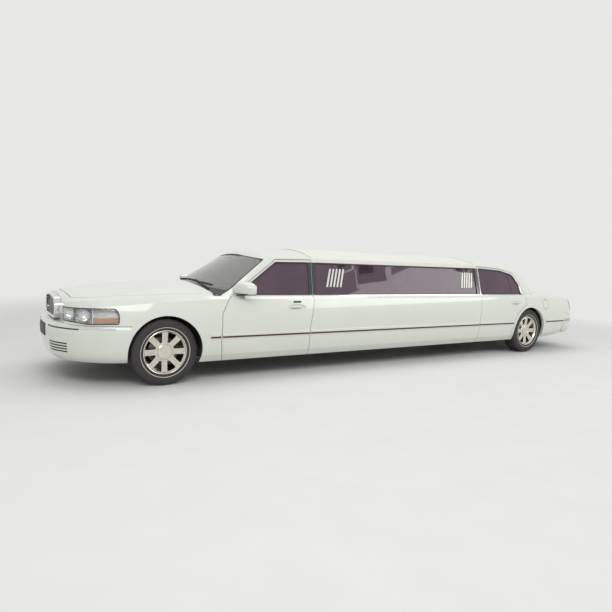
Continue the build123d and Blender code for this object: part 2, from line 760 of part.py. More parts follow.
frame_arms = joined(bumper_arm, mirrored(bumper_arm), rear_bumper_arm, mirrored(rear_bumper_arm))
frame_arms = cut(frame_arms, front_bumper, rear_bumper)
frame_arms = common(frame_arms, slab(rear_axle_x - 1395, front_axle_x + 960, -600, 600, 0, 800))
frame_rails = joined(rail, mirrored(rail), frame_arms)
finish_piece(front_bumper, "front_bumper")
finish_piece(rear_bumper, "rear_bumper")

# Floor with its tunnel, sills and outriggers
floor_front_x = firewall_front_x - firewall_wall
floor_rear_x = rear_axle_x + 500.0
tunnel_half = 180.0
tunnel_top_z = 640.0
tunnel_rear_x = front_axle_x - 1250.0
sill_bar_y = 700.0
floor_seat_z = floor_z + seam_gap
panel_front_x = front_axle_x - 1900.0
panel_rear_x = rear_axle_x + 1300.0
tunnel_profile = [
    (-tunnel_half, 200, 0), (-tunnel_half, tunnel_top_z, 90),
    (tunnel_half, tunnel_top_z, 90), (tunnel_half, 200, 0),
]
tunnel_void = front_prism(tunnel_profile, tunnel_rear_x, floor_front_x + 100)
tunnel_skin = common(
    front_prism(tunnel_profile, tunnel_rear_x - floor_wall, floor_front_x, -floor_wall),
    slab(tunnel_rear_x - floor_wall, floor_front_x, -300, 300, floor_seat_z, 900),
)
floor_plate = slab(
    floor_rear_x, floor_front_x, -floor_half_width, floor_half_width, floor_seat_z, floor_seat_z + floor_wall
)
outriggers = slab(panel_rear_x, panel_front_x, -930, 930, floor_seat_z, floor_seat_z + floor_wall)
sill_bar = slab(rear_axle_x + 520, front_axle_x - 470, sill_bar_y, floor_half_width, 240, floor_seat_z)
floor_pan = cut(
    joined(floor_plate, outriggers, sill_bar, mirrored(sill_bar), tunnel_skin),
    tunnel_void,
    both_sides(stretch_panel),
    both_sides(rail),
)
finish_piece(floor_pan, "floor_pan")
finish_piece(cut(cowl, tunnel_void, both_sides(rail)), "cowl")


# Wheelhouse liners
wheelhouse_y = 610.0


def liner_ring(axle_x, inner_y, wall_piece, bumper_piece):
    """The arched sheet over one left wheel, ending on the body side."""
    ring = cut(
        round_bar(axle_x, wheel_z, liner_radius + liner_wall, inner_y, 980),
        round_bar(axle_x, wheel_z, liner_radius, inner_y - 1, 981),
    )
    ring = common(ring, slab(axle_x - 600, axle_x + 600, inner_y, 980, 262, 900))
    return cut(ring, wall_piece, bumper_piece).solids().sort_by(SortBy.VOLUME)[-1]


front_liner = liner_ring(front_axle_x, 505, fender_left, front_bumper)
rear_liner = liner_ring(rear_axle_x, wheelhouse_y, quarter, rear_bumper)
inner_wall = common(
    round_bar(rear_axle_x, wheel_z, liner_radius + liner_wall, wheelhouse_y, wheelhouse_y + liner_wall),
    slab(rear_axle_x - 500, rear_axle_x + 500, 600, 700, 430, 900),
)
rear_liner = joined(rear_liner, inner_wall)
liners = joined(front_liner, mirrored(front_liner), rear_liner, mirrored(rear_liner))
finish_piece(liners, "wheelhouse_liners")

# Rear floor: bulkhead, parcel shelf and boot floor, each a sheet
sheet = 12.0
boot_floor_z = rail_kick_z + rail_height + seam_gap
boot_well_z = rail_tail_z + rail_height + seam_gap
bulkhead_x = rear_axle_x + 330.0
boot_half = 600.0
parcel_z = shelf_z - 10.0
boot_step_x = rear_axle_x - 450.0
boot_rear_x = tail_x + nose_wall + seam_gap
rear_floor = joined(
    slab(floor_rear_x - sheet, floor_rear_x, -boot_half, boot_half, floor_seat_z, boot_floor_z + sheet),
    slab(boot_step_x, floor_rear_x, -boot_half, boot_half, boot_floor_z, boot_floor_z + sheet),
    slab(bulkhead_x - sheet, bulkhead_x, -800, 800, boot_floor_z, parcel_z),
    slab(lid_front_x + 60, bulkhead_x, -800, 800, parcel_z - sheet, parcel_z),
    slab(boot_step_x, boot_step_x + sheet, -boot_half, boot_half, boot_well_z, boot_floor_z + sheet),
    slab(boot_rear_x, boot_step_x + sheet, -boot_half, boot_half, boot_well_z, boot_well_z + sheet),
)
wheelhouses = both_sides(
    round_bar(rear_axle_x, wheel_z, liner_radius + liner_wall + seam_gap, wheelhouse_y - seam_gap, 1000)
)
rear_floor = cut(rear_floor, both_sides(rail), wheelhouses, quarter)
finish_piece(rear_floor.solids().sort_by(SortBy.VOLUME)[-1], "rear_floor")
lid_stop_z = lid_low_z + moving_gap - seam_gap
lid_stops = [stop_pin(tail_x + 30, side * 300, bumper_top_z + 2, lid_stop_z) for side in (1, -1)]
finish_piece(joined(tail_panel, *lid_stops), "tail_panel")
finish_piece(frame_rails, "frame_rails")
finish_piece(joined(*members), "cross_members")

# Engine, radiator and driveline
engine_front_x = front_axle_x + 330.0
engine_rear_x = front_axle_x - 430.0
engine_low_z = rail_front_z + 90 + seam_gap
with BuildPart() as engine:
    add(slab(engine_rear_x, engine_front_x, -230, 230, engine_low_z, 860))
    chamfer(engine.edges().filter_by(Axis.X), 60)
finish_piece(engine.part, "engine")
radiator = slab(front_axle_x + 775, front_axle_x + 830, -360, 360, rail_front_z + 100 + seam_gap, 800)
finish_piece(radiator, "radiator")


def shaft_length(low_x, high_x, radius, z=shaft_z):
    """A round shaft along the middle of the car."""
    with BuildPart() as shaft:
        with BuildSketch(Plane.YZ.offset(low_x)):
            with Locations((0, z)):
                Circle(radius)
        extrude(amount=high_x - low_x)
    return shaft.part


gearbox_rear_x = front_axle_x - 1000.0
with BuildPart() as gearbox:
    with BuildSketch(Plane.YZ.offset(engine_rear_x - seam_gap)):
        with Locations((0, 455)):
            Circle(160)
    with BuildSketch(Plane.YZ.offset(gearbox_rear_x)):
        with Locations((0, shaft_z)):
            Circle(70)
    loft()
pinion_x = rear_axle_x + 230.0
bearing_places = (front_axle_x - 2400, front_axle_x - 4200)
bearings = [
    slab(x - 40, x + 40, -60, 60, rail_mid_z + 31 + seam_gap, shaft_z) for x in bearing_places
]
joint_places = (gearbox_rear_x - 110, *bearing_places, pinion_x + 40)
shaft_joints = [shaft_length(x - 32, x + 32, 43) for x in joint_places]
driveline = joined(
    gearbox.part,
    shaft_length(gearbox_rear_x - 80, gearbox_rear_x, 55),
    shaft_length(pinion_x + seam_gap, gearbox_rear_x, shaft_radius),
    *bearings,
    *shaft_joints,
)
driveline = cut(driveline, slab(pinion_x - 100, pinion_x + seam_gap, -100, 100, 200, 500))
finish_piece(driveline, "driveline")

# Rear axle with its air springs and trailing arms
arm_y = 400.0
axle_tube = round_bar(rear_axle_x, wheel_z, 40, -700, 700)
differential = round_bar(rear_axle_x, wheel_z, 130, -95, 95)
rear_spindle = round_bar(rear_axle_x, wheel_z, spindle_radius, -rear_track_half - 57, rear_track_half + 57)
pinion_nose = shaft_length(rear_axle_x, pinion_x, 55)


def air_spring(y):
    """A rolling air bag between the axle and the frame rail."""
    with BuildPart() as spring:
        with BuildSketch(Plane.XY.offset(wheel_z)):
            with Locations((rear_axle_x, y)):
                Circle(56)
        extrude(amount=rail_kick_z - seam_gap - wheel_z)
    return spring.part


arm_line = [
    (rear_axle_x - 20, 300, 10), (rear_axle_x - 20, 350, 10),
    (rear_axle_x + 690, 350, 20), (rear_axle_x + 690, 300, 20),
]
trailing_arm = side_prism(arm_line, arm_y - 20, arm_y + 18)
arm_pivot = round_bar(rear_axle_x + 665, 325, 18, arm_y, rail_inner_y - seam_gap)
rear_axle = joined(
    axle_tube, differential, rear_spindle, pinion_nose, air_spring(462), air_spring(-462),
    trailing_arm, mirrored(trailing_arm), arm_pivot, mirrored(arm_pivot),
)
finish_piece(rear_axle, "rear_axle")

# Front suspension: lower and upper arms with the spring leg, on the cross member
lower_arm_z = kingpin_low_z - seam_gap - 22
upper_arm_z = kingpin_high_z + seam_gap


def wishbone(foot_half, foot_y, tip_half, tip_y, low_z, thick):
    """An arm seen from above, wide at the frame and narrow at the wheel."""
    outline = [
        (front_axle_x - foot_half, foot_y, 20), (front_axle_x + foot_half, foot_y, 20),
        (front_axle_x + tip_half, tip_y, 20), (front_axle_x - tip_half, tip_y, 20),
    ]
    return plan_prism(outline, low_z, low_z + thick)


lower_arm = wishbone(150, 380, 30, 757, lower_arm_z, 22)
upper_arm = wishbone(85, 445, 28, 755, upper_arm_z, 18)
bracket_top_z = rail_front_z - 20 - seam_gap
arm_bracket = slab(front_axle_x - 60, front_axle_x + 60, 350, rail_inner_y - 10, lower_arm_z, bracket_top_z)
tower = slab(
    front_axle_x - 60, front_axle_x + 60, rail_inner_y + 15, rail_outer_y - 5,
    rail_front_z + rail_height + seam_gap, upper_arm_z + 40
)
with BuildPart() as spring_leg:
    with BuildSketch(Plane.XY.offset(lower_arm_z + 10)):
        with Locations((front_axle_x, 590)):
            Circle(42)
    extrude(amount=upper_arm_z - lower_arm_z)
front_corner = joined(lower_arm, upper_arm, arm_bracket, tower, spring_leg.part)
finish_piece(both_sides(front_corner), "front_suspension")

# Steering knuckle with its spindle and brake caliper
disc_wall = 12.0
disc_in = 33.0              # inner face of the brake disc, inboard of the wheel's middle
disc_y = front_track_half - disc_in
with BuildPart() as post:
    with BuildSketch(Plane.XY.offset(kingpin_low_z)):
        with Locations((front_axle_x, kingpin_y)):
            Circle(24)
    extrude(amount=kingpin_high_z - kingpin_low_z)
front_spindle = round_bar(front_axle_x, wheel_z, spindle_radius, kingpin_y, front_track_half + 57)
caliper_outer_y = disc_y + disc_wall + 16
caliper = slab(front_axle_x - 186, front_axle_x - 112, disc_y - 14, caliper_outer_y, wheel_z - 45, wheel_z + 45)
disc_room = round_bar(front_axle_x, wheel_z, disc_radius + 6, disc_y - 6, disc_y + disc_wall + 6)
caliper_arm = slab(front_axle_x - 130, front_axle_x, kingpin_y - 5, disc_y - 8, wheel_z - 22, wheel_z + 22)
knuckle = joined(post.part, front_spindle, caliper_arm, cut(caliper, disc_room))
finish_piece(knuckle, "knuckle_left")
finish_piece(mirrored(knuckle), "knuckle_right")

# Wheel: rim with eight spokes, hub and brake disc
barrel_wall = 16.0
spoke_count = 8
hub_radius = 72.0
spoke_face = 52.0
spoke_depth = 24.0
flange_lip = 7.0
rim_half = rim_width / 2


def make_rim(axle_x, middle_y):
    """A left wheel, its outer face towards +Y."""
    centre_plane = Plane(origin=(axle_x, middle_y, wheel_z), x_dir=(0, 1, 0), z_dir=(1, 0, 0))
    face_plane = Plane(origin=(axle_x, middle_y, wheel_z), x_dir=(1, 0, 0), z_dir=(0, 1, 0))
    axis = Axis((axle_x, middle_y, wheel_z), (0, 1, 0))
    with BuildPart() as rim:
        with BuildSketch(centre_plane):
            with BuildLine():
                Polyline(
                    (-rim_half, rim_radius - barrel_wall), (rim_half, rim_radius - barrel_wall),
                    (rim_half, rim_flange), (rim_half - flange_lip, rim_flange),
                    (rim_half - flange_lip, rim_radius), (flange_lip - rim_half, rim_radius),
                    (flange_lip - rim_half, rim_flange), (-rim_half, rim_flange),
                    close=True,
                )
            make_face()
        revolve(axis=axis)
        with BuildSketch(face_plane.offset(-disc_in)):
            Circle(disc_radius)
        extrude(amount=disc_wall)
        with BuildSketch(face_plane.offset(-disc_in)):
            Circle(hub_radius)
        extrude(amount=disc_in + spoke_face + spoke_depth)
        with BuildSketch(face_plane.offset(spoke_face)):
            with PolarLocations(0, spoke_count):
                Polygon((50, -22), (rim_radius - 8, -31), (rim_radius - 8, 31), (50, 22), align=None)
        extrude(amount=spoke_depth)
        with BuildSketch(face_plane.offset(-disc_in)):
            Circle(spindle_radius + seam_gap)
        extrude(amount=disc_in + 57 + seam_gap, mode=Mode.SUBTRACT)
    return rim.part


def make_tyre(axle_x, middle_y):
    """A tyre seated between the rim flanges."""
    centre_plane = Plane(origin=(axle_x, middle_y, wheel_z), x_dir=(0, 1, 0), z_dir=(1, 0, 0))
    axis = Axis((axle_x, middle_y, wheel_z), (0, 1, 0))
    bead = rim_half - flange_lip - seam_gap
    tyre_half = tyre_width / 2
    shoulder = 20.0
    wall_side = [
        (bead, rim_radius),
        (bead, rim_flange + 2),
        (tyre_half, (rim_flange + tyre_radius) / 2),
        (tyre_half - 6, tyre_radius - shoulder),
        (tyre_half - 26, tyre_radius),
    ]
    far_wall_side = [(-across, radius) for across, radius in reversed(wall_side)]
    with BuildPart() as tyre:
        with BuildSketch(centre_plane):
            with BuildLine():
                Polyline(*wall_side, *far_wall_side, close=True)
            make_face()
        revolve(axis=axis)
    return tyre.part


axles = (("front", front_axle_x, front_track_half), ("rear", rear_axle_x, rear_track_half))
for end, axle_x, middle_y in axles:
    rim = make_rim(axle_x, middle_y)
    tyre = make_tyre(axle_x, middle_y)
    finish_piece(rim, f"rim_{end}_left")
    finish_piece(mirrored(rim), f"rim_{end}_right")
    finish_piece(tyre, f"tyre_{end}_left")
    finish_piece(mirrored(tyre), f"tyre_{end}_right")

# Fuel tank and exhaust under the floor
tank_low_z = 290.0
with BuildPart() as fuel_tank:
    add(slab(rear_axle_x - 1150, rear_axle_x - 480, -400, 400, tank_low_z, boot_well_z - seam_gap))
    fillet(fuel_tank.edges().filter_by(Axis.Z), 50)
finish_piece(cut(fuel_tank.part, rear_floor, both_sides(rail)), "fuel_tank")

pipe_y = 300.0
pipe_z = rail_mid_z - seam_gap - pipe_radius
port_x = front_axle_x - 300.0
port_z = 545.0


def exhaust_pipe(low_x, high_x):
    """The long left exhaust pipe."""
    with BuildPart() as pipe:
        with BuildSketch(Plane.YZ.offset(low_x)):
            with Locations((pipe_y, pipe_z)):
                Circle(pipe_radius)
        extrude(amount=high_x - low_x)
        with BuildSketch(Plane.XY.offset(pipe_z)):
            with Locations((port_x, pipe_y)):
                Circle(pipe_radius)
        extrude(amount=port_z - pipe_z)
        with BuildSketch(Plane.XZ.offset(-pipe_y)):
            with Locations((port_x, port_z - pipe_radius)):
                Circle(pipe_radius)
        extrude(amount=-(pipe_y - 230 - seam_gap))
    return pipe.part


with BuildPart() as muffler:
    add(slab(front_axle_x - 4050, front_axle_x - 3600, 230, 400, 215, 335))
    fillet(muffler.edges().filter_by(Axis.X), 40)
exhaust_left = joined(exhaust_pipe(rear_axle_x - 1370, port_x), muffler.part)
finish_piece(both_sides(exhaust_left), "exhaust")

# Dashboard with the steering column, and the steering wheel
dash_half = 770.0
dash_line = [
    (floor_front_x - seam_gap, 660, 0), (floor_front_x - seam_gap, 870, 0), (front_axle_x - 740, 870, 0),
    (front_axle_x - 765, 926, 20), (front_axle_x - 900, 926, 60), (front_axle_x - 1000, 850, 40),
    (front_axle_x - 960, 660, 40),
]
wheel_hand_x = front_axle_x - 1130.0
wheel_hand_y = 380.0
wheel_hand_z = 850.0
column_tilt = 25.0
column_dir = Vector(-math.cos(math.radians(column_tilt)), 0, math.sin(math.radians(column_tilt)))
hand_centre = Vector(wheel_hand_x, wheel_hand_y, wheel_hand_z)


def column_disc(distance, radius, amount, hole=0.0):
    """A round piece on the steering column, from a distance along it."""
    with BuildPart() as disc:
        with BuildSketch(Plane(origin=hand_centre + column_dir * distance, z_dir=column_dir)):
            Circle(radius)
            if hole:
                Circle(hole, mode=Mode.SUBTRACT)
        extrude(amount=amount)
    return disc.part


column = column_disc(-260, 26, 260 - 40 - seam_gap)
finish_piece(joined(side_prism(dash_line, -dash_half, dash_half), column), "dashboard")
hand_rim_radius = 190.0
hand_rim_thick = 14.0
column_turn = math.radians(column_tilt)
hand_rim_plane = Plane(origin=hand_centre, x_dir=(0, 1, 0), z_dir=(math.sin(column_turn), 0, math.cos(column_turn)))
with BuildPart() as steering_wheel:
    with BuildSketch(hand_rim_plane):
        with Locations((hand_rim_radius, 0)):
            Circle(hand_rim_thick)
    revolve(axis=Axis(hand_centre, column_dir))
    add(column_disc(-40, 62, 46))
    with BuildSketch(Plane(origin=hand_centre - column_dir * 8, x_dir=(0, 1, 0), z_dir=column_dir)):
        Rectangle(2 * hand_rim_radius - 8, 34)
    extrude(amount=14)
finish_piece(steering_wheel.part, "steering_wheel")

# Seats: a cushion and a back from one side outline, facing forward (away -1) or backward (away 1)
seat_foot_z = floor_seat_z + floor_wall + seam_gap
cushion_top_z = 690.0
seat_back_z = 1120.0


def seat(front_x, depth, low_y, high_y, away, foot_z=seat_foot_z, lift=0.0):
    """One seat, its cushion starting at front_x and its back at the far end."""
    outline = [
        (0, foot_z, 0), (0, cushion_top_z + lift, 60), (depth - 150, cushion_top_z - 25 + lift, 30),
        (depth - 95, seat_back_z + lift, 40), (depth, seat_back_z + lift, 40), (depth - 10, foot_z, 0),
    ]
    points = [(front_x + away * along, z, r) for along, z, r in outline]
    return side_prism(points, low_y, high_y)


driver_seat = seat(front_axle_x - 1270, 600, 215, 735, -1)
finish_piece(both_sides(driver_seat), "front_seats")
partition_x = front_axle_x - 1935.0
partition_wall = 25.0
lounge_half = 795.0
partition_low = slab(
    partition_x - partition_wall, partition_x, -lounge_half, lounge_half, seat_foot_z, shelf_z + 1
)
partition_high = common(
    cabin_volume(pillar_wall + seam_gap),
    slab(partition_x - partition_wall, partition_x, -900, 900, shelf_z + seam_gap, 1500),
)
finish_piece(joined(partition_low, partition_high), "partition")
front_bench = seat(partition_x - partition_wall - 700, 690, -760, 760, 1)
rear_bench = seat(bulkhead_x + 700, 699, -760, 760, -1, boot_floor_z + sheet + seam_gap, 30.0)
side_bench = front_prism(
    [
        (-300, seat_foot_z, 0), (-300, cushion_top_z - 20, 60), (-640, cushion_top_z - 40, 30),
        (-700, seat_back_z - 60, 40), (-780, seat_back_z - 60, 40), (-780, seat_foot_z, 0),
    ],
    rear_axle_x + 1420, front_axle_x - 2700,
)
finish_piece(joined(front_bench, side_bench), "lounge_seats")
finish_piece(cut(rear_bench, wheelhouses, rear_floor), "rear_seat")

# Door mirrors
mirror_low_z = 958.0
mirror_high_z = 1104.0
mirror_plan = [
    (front_axle_x - 738, 866, 20), (front_axle_x - 772, 985, 90), (front_axle_x - 872, 1075, 45),
    (front_axle_x - 926, 1070, 14), (front_axle_x - 892, 866, 14),
]
with BuildPart() as mirror_head:
    add(plan_prism(mirror_plan, mirror_low_z, mirror_high_z))
    fillet(mirror_head.faces().sort_by(Axis.Z)[-1].edges(), 12)
    fillet(mirror_head.faces().sort_by(Axis.Z)[0].edges(), 9)
mirror_arm = slab(front_axle_x - 880, front_axle_x - 760, 840, 900, 950, 985)
mirror_left = cut(joined(mirror_head.part, mirror_arm), cabin_outer)
mirror_left = mirror_left.solids().sort_by(SortBy.VOLUME)[-1]
finish_piece(mirror_left, "mirror_left")
finish_piece(mirrored(mirror_left), "mirror_right")
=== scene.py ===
import json
import math

import bmesh
import bpy
import numpy as np
from mathutils import Matrix, Vector

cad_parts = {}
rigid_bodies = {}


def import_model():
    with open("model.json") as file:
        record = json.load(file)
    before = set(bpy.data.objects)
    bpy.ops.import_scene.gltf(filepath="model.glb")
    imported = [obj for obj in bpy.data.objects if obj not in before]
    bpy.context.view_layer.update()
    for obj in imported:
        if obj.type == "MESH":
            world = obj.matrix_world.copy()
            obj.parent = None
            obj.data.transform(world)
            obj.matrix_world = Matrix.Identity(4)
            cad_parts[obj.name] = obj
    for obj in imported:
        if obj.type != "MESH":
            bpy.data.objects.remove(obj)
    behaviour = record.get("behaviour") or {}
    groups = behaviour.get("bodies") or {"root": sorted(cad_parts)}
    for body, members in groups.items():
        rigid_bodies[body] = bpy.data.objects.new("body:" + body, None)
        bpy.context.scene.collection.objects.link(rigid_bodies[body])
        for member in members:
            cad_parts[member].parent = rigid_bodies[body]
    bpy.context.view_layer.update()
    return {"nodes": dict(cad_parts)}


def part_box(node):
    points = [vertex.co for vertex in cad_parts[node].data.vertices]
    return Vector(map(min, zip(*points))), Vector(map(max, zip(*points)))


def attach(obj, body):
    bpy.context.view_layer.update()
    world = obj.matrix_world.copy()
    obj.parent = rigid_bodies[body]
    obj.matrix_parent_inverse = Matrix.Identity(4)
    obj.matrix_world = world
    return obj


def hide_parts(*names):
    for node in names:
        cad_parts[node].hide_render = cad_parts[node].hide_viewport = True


for old in list(bpy.data.objects):
    bpy.data.objects.remove(old)
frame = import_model()

# Places along the car, from the frame's own wheels; metres, +X ahead, +Y to the car's left
frontX = sum(c.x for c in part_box("tyre_front_left")) / 2
rearX = sum(c.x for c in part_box("tyre_rear_left")) / 2
sides = (("left", 1), ("right", -1))
print("frame read")


# Mesh helpers
def unit(v):
    # each vector divided by its own length
    return v / np.maximum(np.linalg.norm(v, axis=-1, keepdims=True), 1e-12)


def gridFaces(rows, cols, closeRows=False, closeCols=False):
    # quads between the neighbours of a grid, wrapped round where it is closed
    r, c = np.meshgrid(np.arange(rows - (not closeRows)), np.arange(cols - (not closeCols)), indexing="ij")
    nextR, nextC = (r + 1) % rows, (c + 1) % cols
    return np.stack([r * cols + c, nextR * cols + c, nextR * cols + nextC, r * cols + nextC], -1).reshape(-1, 4)


def tubeFaces(rows, cols):
    # a grid whose rows are closed rings, with a cap on the first and on the last ring
    first = np.arange(cols)
    return gridFaces(rows, cols, False, True).tolist() + [first.tolist(), (first + (rows - 1) * cols).tolist()]


def putMesh(name, points, faces, material, body, node=None, crease=35):
    # a mesh object with its normals turned outwards, smooth but for edges sharper than crease
    mesh = bpy.data.meshes.new(name)
    mesh.from_pydata(np.asarray(points, float).reshape(-1, 3).tolist(), [], [list(f) for f in faces])
    work = bmesh.new()
    work.from_mesh(mesh)
    bmesh.ops.remove_doubles(work, verts=work.verts, dist=1e-6)
    bmesh.ops.recalc_face_normals(work, faces=work.faces)
    work.to_mesh(mesh)
    work.free()
    mesh.shade_smooth()
    mesh.set_sharp_from_angle(angle=math.radians(crease))
    mesh.materials.append(material)
    obj = bpy.data.objects.new(name, mesh)
    bpy.context.scene.collection.objects.link(obj)
    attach(obj, body)
    if node:
        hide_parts(node)
    return obj


def joinMeshes(parts):
    # several (points, faces) pairs as one pair
    points, faces, start = [], [], 0
    for p, f in parts:
        p = np.asarray(p, float).reshape(-1, 3)
        points.append(p)
        faces += [[i + start for i in face] for face in f]
        start += len(p)
    return np.concatenate(points), faces


def swept(path, normal, profile, closed=False):
    # each profile point (across, out) is carried along the path: across in the surface, out along its normal
    path = np.asarray(path, float)
    normal = unit(np.broadcast_to(np.asarray(normal, float), path.shape))
    ahead = np.roll(path, -1, 0) - np.roll(path, 1, 0) if closed else np.gradient(path, axis=0)
    across = unit(np.cross(unit(ahead), normal))
    profile = np.asarray(profile, float)
    points = path[:, None] + across[:, None] * profile[None, :, :1] + normal[:, None] * profile[None, :, 1:]
    rows, cols = points.shape[:2]
    return points, gridFaces(rows, cols, True, True).tolist() if closed else tubeFaces(rows, cols)


def turned(profile, steps=40, closed=True, centre=(0, 0, 0), axis=(0, 1, 0)):
    # a profile of (radius, out) turned about an axis through centre; out runs along the axis
    profile, axis = np.asarray(profile, float), unit(np.asarray(axis, float))
    across = unit(np.cross(axis, (0, 0, 1) if abs(axis[2]) < 0.9 else (1, 0, 0)))
    turn = np.linspace(0, 2 * np.pi, steps, endpoint=False)[:, None]
    ring = np.cos(turn) * across + np.sin(turn) * np.cross(axis, across)
    points = np.asarray(centre) + ring[:, None] * profile[None, :, :1] + axis * profile[None, :, 1:]
    return points, gridFaces(steps, len(profile), True, closed).tolist()


def strip(width, height, edge=0.3, sink=0.0015):
    # a low rounded section, half sunk under the surface it lies on
    half = width / 2
    return [(-half, -sink), (-half, height * (1 - edge)), (-half + height * edge, height),
            (half - height * edge, height), (half, height * (1 - edge)), (half, -sink)]


def tubeProfile(radius, count):
    # a round section: points spread evenly on a circle
    turn = np.linspace(0, 2 * np.pi, count, endpoint=False)
    return np.stack([np.cos(turn) * radius, np.sin(turn) * radius], -1)


def roundedLoop(corners, steps=9):
    # a closed outline through (x, z, radius) corners, each rounded by an arc about its own centre
    corners = np.asarray(corners, float)
    at, radius = corners[:, :2], np.maximum(corners[:, 2:], 1e-4)
    back, on = unit(np.roll(at, 1, 0) - at), unit(np.roll(at, -1, 0) - at)
    half = np.arccos(np.clip((back * on).sum(1, keepdims=True), -1, 1)) / 2
    centre = at + unit(back + on) * radius / np.sin(half)
    first, last = at + back * radius / np.tan(half) - centre, at + on * radius / np.tan(half) - centre
    turn = (np.pi - 2 * half)[:, None]
    s = np.linspace(0, 1, steps)[None, :, None]
    arc = (np.sin((1 - s) * turn) * first[:, None] + np.sin(s * turn) * last[:, None]) / np.sin(turn)
    return (centre[:, None] + arc).reshape(-1, 2)


def shrunk(loop, amount):
    # the outline moved inwards along its own normals
    ahead = unit(np.roll(loop, -1, 0) - loop) + unit(loop - np.roll(loop, 1, 0))
    inward = unit(np.stack([-ahead[:, 1], ahead[:, 0]], -1))
    area = (loop[:, 0] * np.roll(loop[:, 1], -1) - loop[:, 1] * np.roll(loop[:, 0], -1)).sum()
    return loop + inward * amount * np.sign(area)


def trianglesOf(names):
    # the corner points of every triangle of these CAD nodes
    found = []
    for name in names:
        mesh = frame["nodes"][name].data
        mesh.calc_loop_triangles()
        co = np.empty(len(mesh.vertices) * 3)
        mesh.vertices.foreach_get("co", co)
        corner = np.empty(len(mesh.loop_triangles) * 3, int)
        mesh.loop_triangles.foreach_get("vertices", corner)
        found.append(co.reshape(-1, 3)[corner].reshape(-1, 3, 3))
    return np.concatenate(found)


def castOn(names, x, y, z, aim):
    # where rays from (x, y, z) along aim first meet these nodes, and the surface normal there
    starts = np.stack(np.broadcast_arrays(*(np.asarray(v, float) for v in (x, y, z))), -1)
    shape = starts.shape
    aim = np.broadcast_to(unit(np.asarray(aim, float)), shape).reshape(-1, 3)
    starts = starts.reshape(-1, 3)
    tri = trianglesOf(names)
    origin, first, second = tri[:, 0], tri[:, 1] - tri[:, 0], tri[:, 2] - tri[:, 0]
    far, normals = [], []
    for at, to in zip(np.array_split(starts, len(starts) // 100 + 1), np.array_split(aim, len(aim) // 100 + 1)):
        h = np.cross(to[:, None], second[None])
        det = (first[None] * h).sum(-1)
        det = np.where(np.abs(det) < 1e-14, np.nan, det)
        s = at[:, None] - origin[None]
        u = (s * h).sum(-1) / det
        q = np.cross(s, first[None])
        v = (to[:, None] * q).sum(-1) / det
        reach = (second[None] * q).sum(-1) / det
        ok = (u > -1e-6) & (v > -1e-6) & (u + v < 1 + 1e-6) & (reach > 0)
        reach = np.where(ok, reach, np.inf)
        best = np.argmin(reach, 1)
        far.append(reach[np.arange(len(at)), best])
        face = unit(np.cross(first, second))[best]
        normals.append(face * -np.sign((face * to).sum(-1, keepdims=True)))
    far, normals = np.concatenate(far), np.concatenate(normals)
    good = np.where(np.isfinite(far), np.arange(len(far)), -1)
    last = np.maximum.accumulate(good)
    last = np.where(last < 0, good.max(), last)    # a ray that misses takes the last good one
    return (starts + aim * far[last, None]).reshape(shape), normals[last].reshape(shape)


def onSide(names, x, z, side):
    # the body side at these places, seen from outside
    return castOn(names, x, side * 1.4, z, (0, -side, 0))


# The flat side of the cabin leans inwards from its foot to the drip line
cabin = {"footY": 0.893, "footZ": 0.900, "dripY": 0.668, "dripZ": 1.385}
cabinSlope = (cabin["footY"] - cabin["dripY"]) / (cabin["dripZ"] - cabin["footZ"])


def onCabin(outline, side, lift=0.0):
    # points (x, z) laid on the flat side of the cabin, and its normal
    outline = np.asarray(outline, float)
    normal = unit(np.array([0, side, cabinSlope]))
    y = side * (cabin["footY"] - (outline[:, 1] - cabin["footZ"]) * cabinSlope)
    return np.stack([outline[:, 0], y, outline[:, 1]], -1) + normal * lift, normal


def wrapped(names, middle, angles, z):
    # where level rays from outside, aimed at an upright line through middle, meet the body
    angles, z = np.broadcast_arrays(np.asarray(angles, float), np.asarray(z, float))
    outX, outY, reach = np.cos(angles), np.sin(angles), 2.5
    aim = -np.stack([outX, outY, np.zeros(z.shape)], -1)
    return castOn(names, middle[0] + outX * reach, middle[1] + outY * reach, z, aim)


def smoothed(grid, passes=3):
    # each normal becomes the average of its neighbours
    for _ in range(passes):
        wide = np.pad(grid, ((1, 1), (1, 1), (0, 0)), mode="edge")
        grid = wide[:-2, 1:-1] + wide[2:, 1:-1] + wide[1:-1, :-2] + wide[1:-1, 2:] + wide[1:-1, 1:-1] * 2
    return unit(grid)


def sheetOver(points, normals, high, low):
    # a closed sheet between two heights over a grid of surface points
    rows, cols = points.shape[:2]
    count = rows * cols
    grid = gridFaces(rows, cols)
    index = np.arange(count).reshape(rows, cols)
    rim = np.concatenate([index[0], index[1:, -1], index[-1, -2::-1], index[-2:0:-1, 0]])
    after = np.roll(rim, -1)
    walls = np.stack([rim, after, after + count, rim + count], -1)
    top, bottom = points + normals * high, points + normals * low
    faces = np.concatenate([grid, grid + count, walls]).tolist()
    return np.concatenate([top.reshape(-1, 3), bottom.reshape(-1, 3)]), faces


def borderOf(grid):
    # the points round the edge of a grid, in order
    return np.concatenate([grid[:-1, 0], grid[-1, :-1], grid[:0:-1, -1], grid[0, :0:-1]])


def placed(shape, s, origin=(0, 0, 0)):
    # a left-hand piece moved to origin, as its mirror image where s is -1
    return np.asarray(shape[0], float).reshape(-1, 3) * (1, s, 1) + origin, shape[1]


def both(shape):
    # a left piece with its mirror image
    return joinMeshes([shape, placed(shape, -1)])


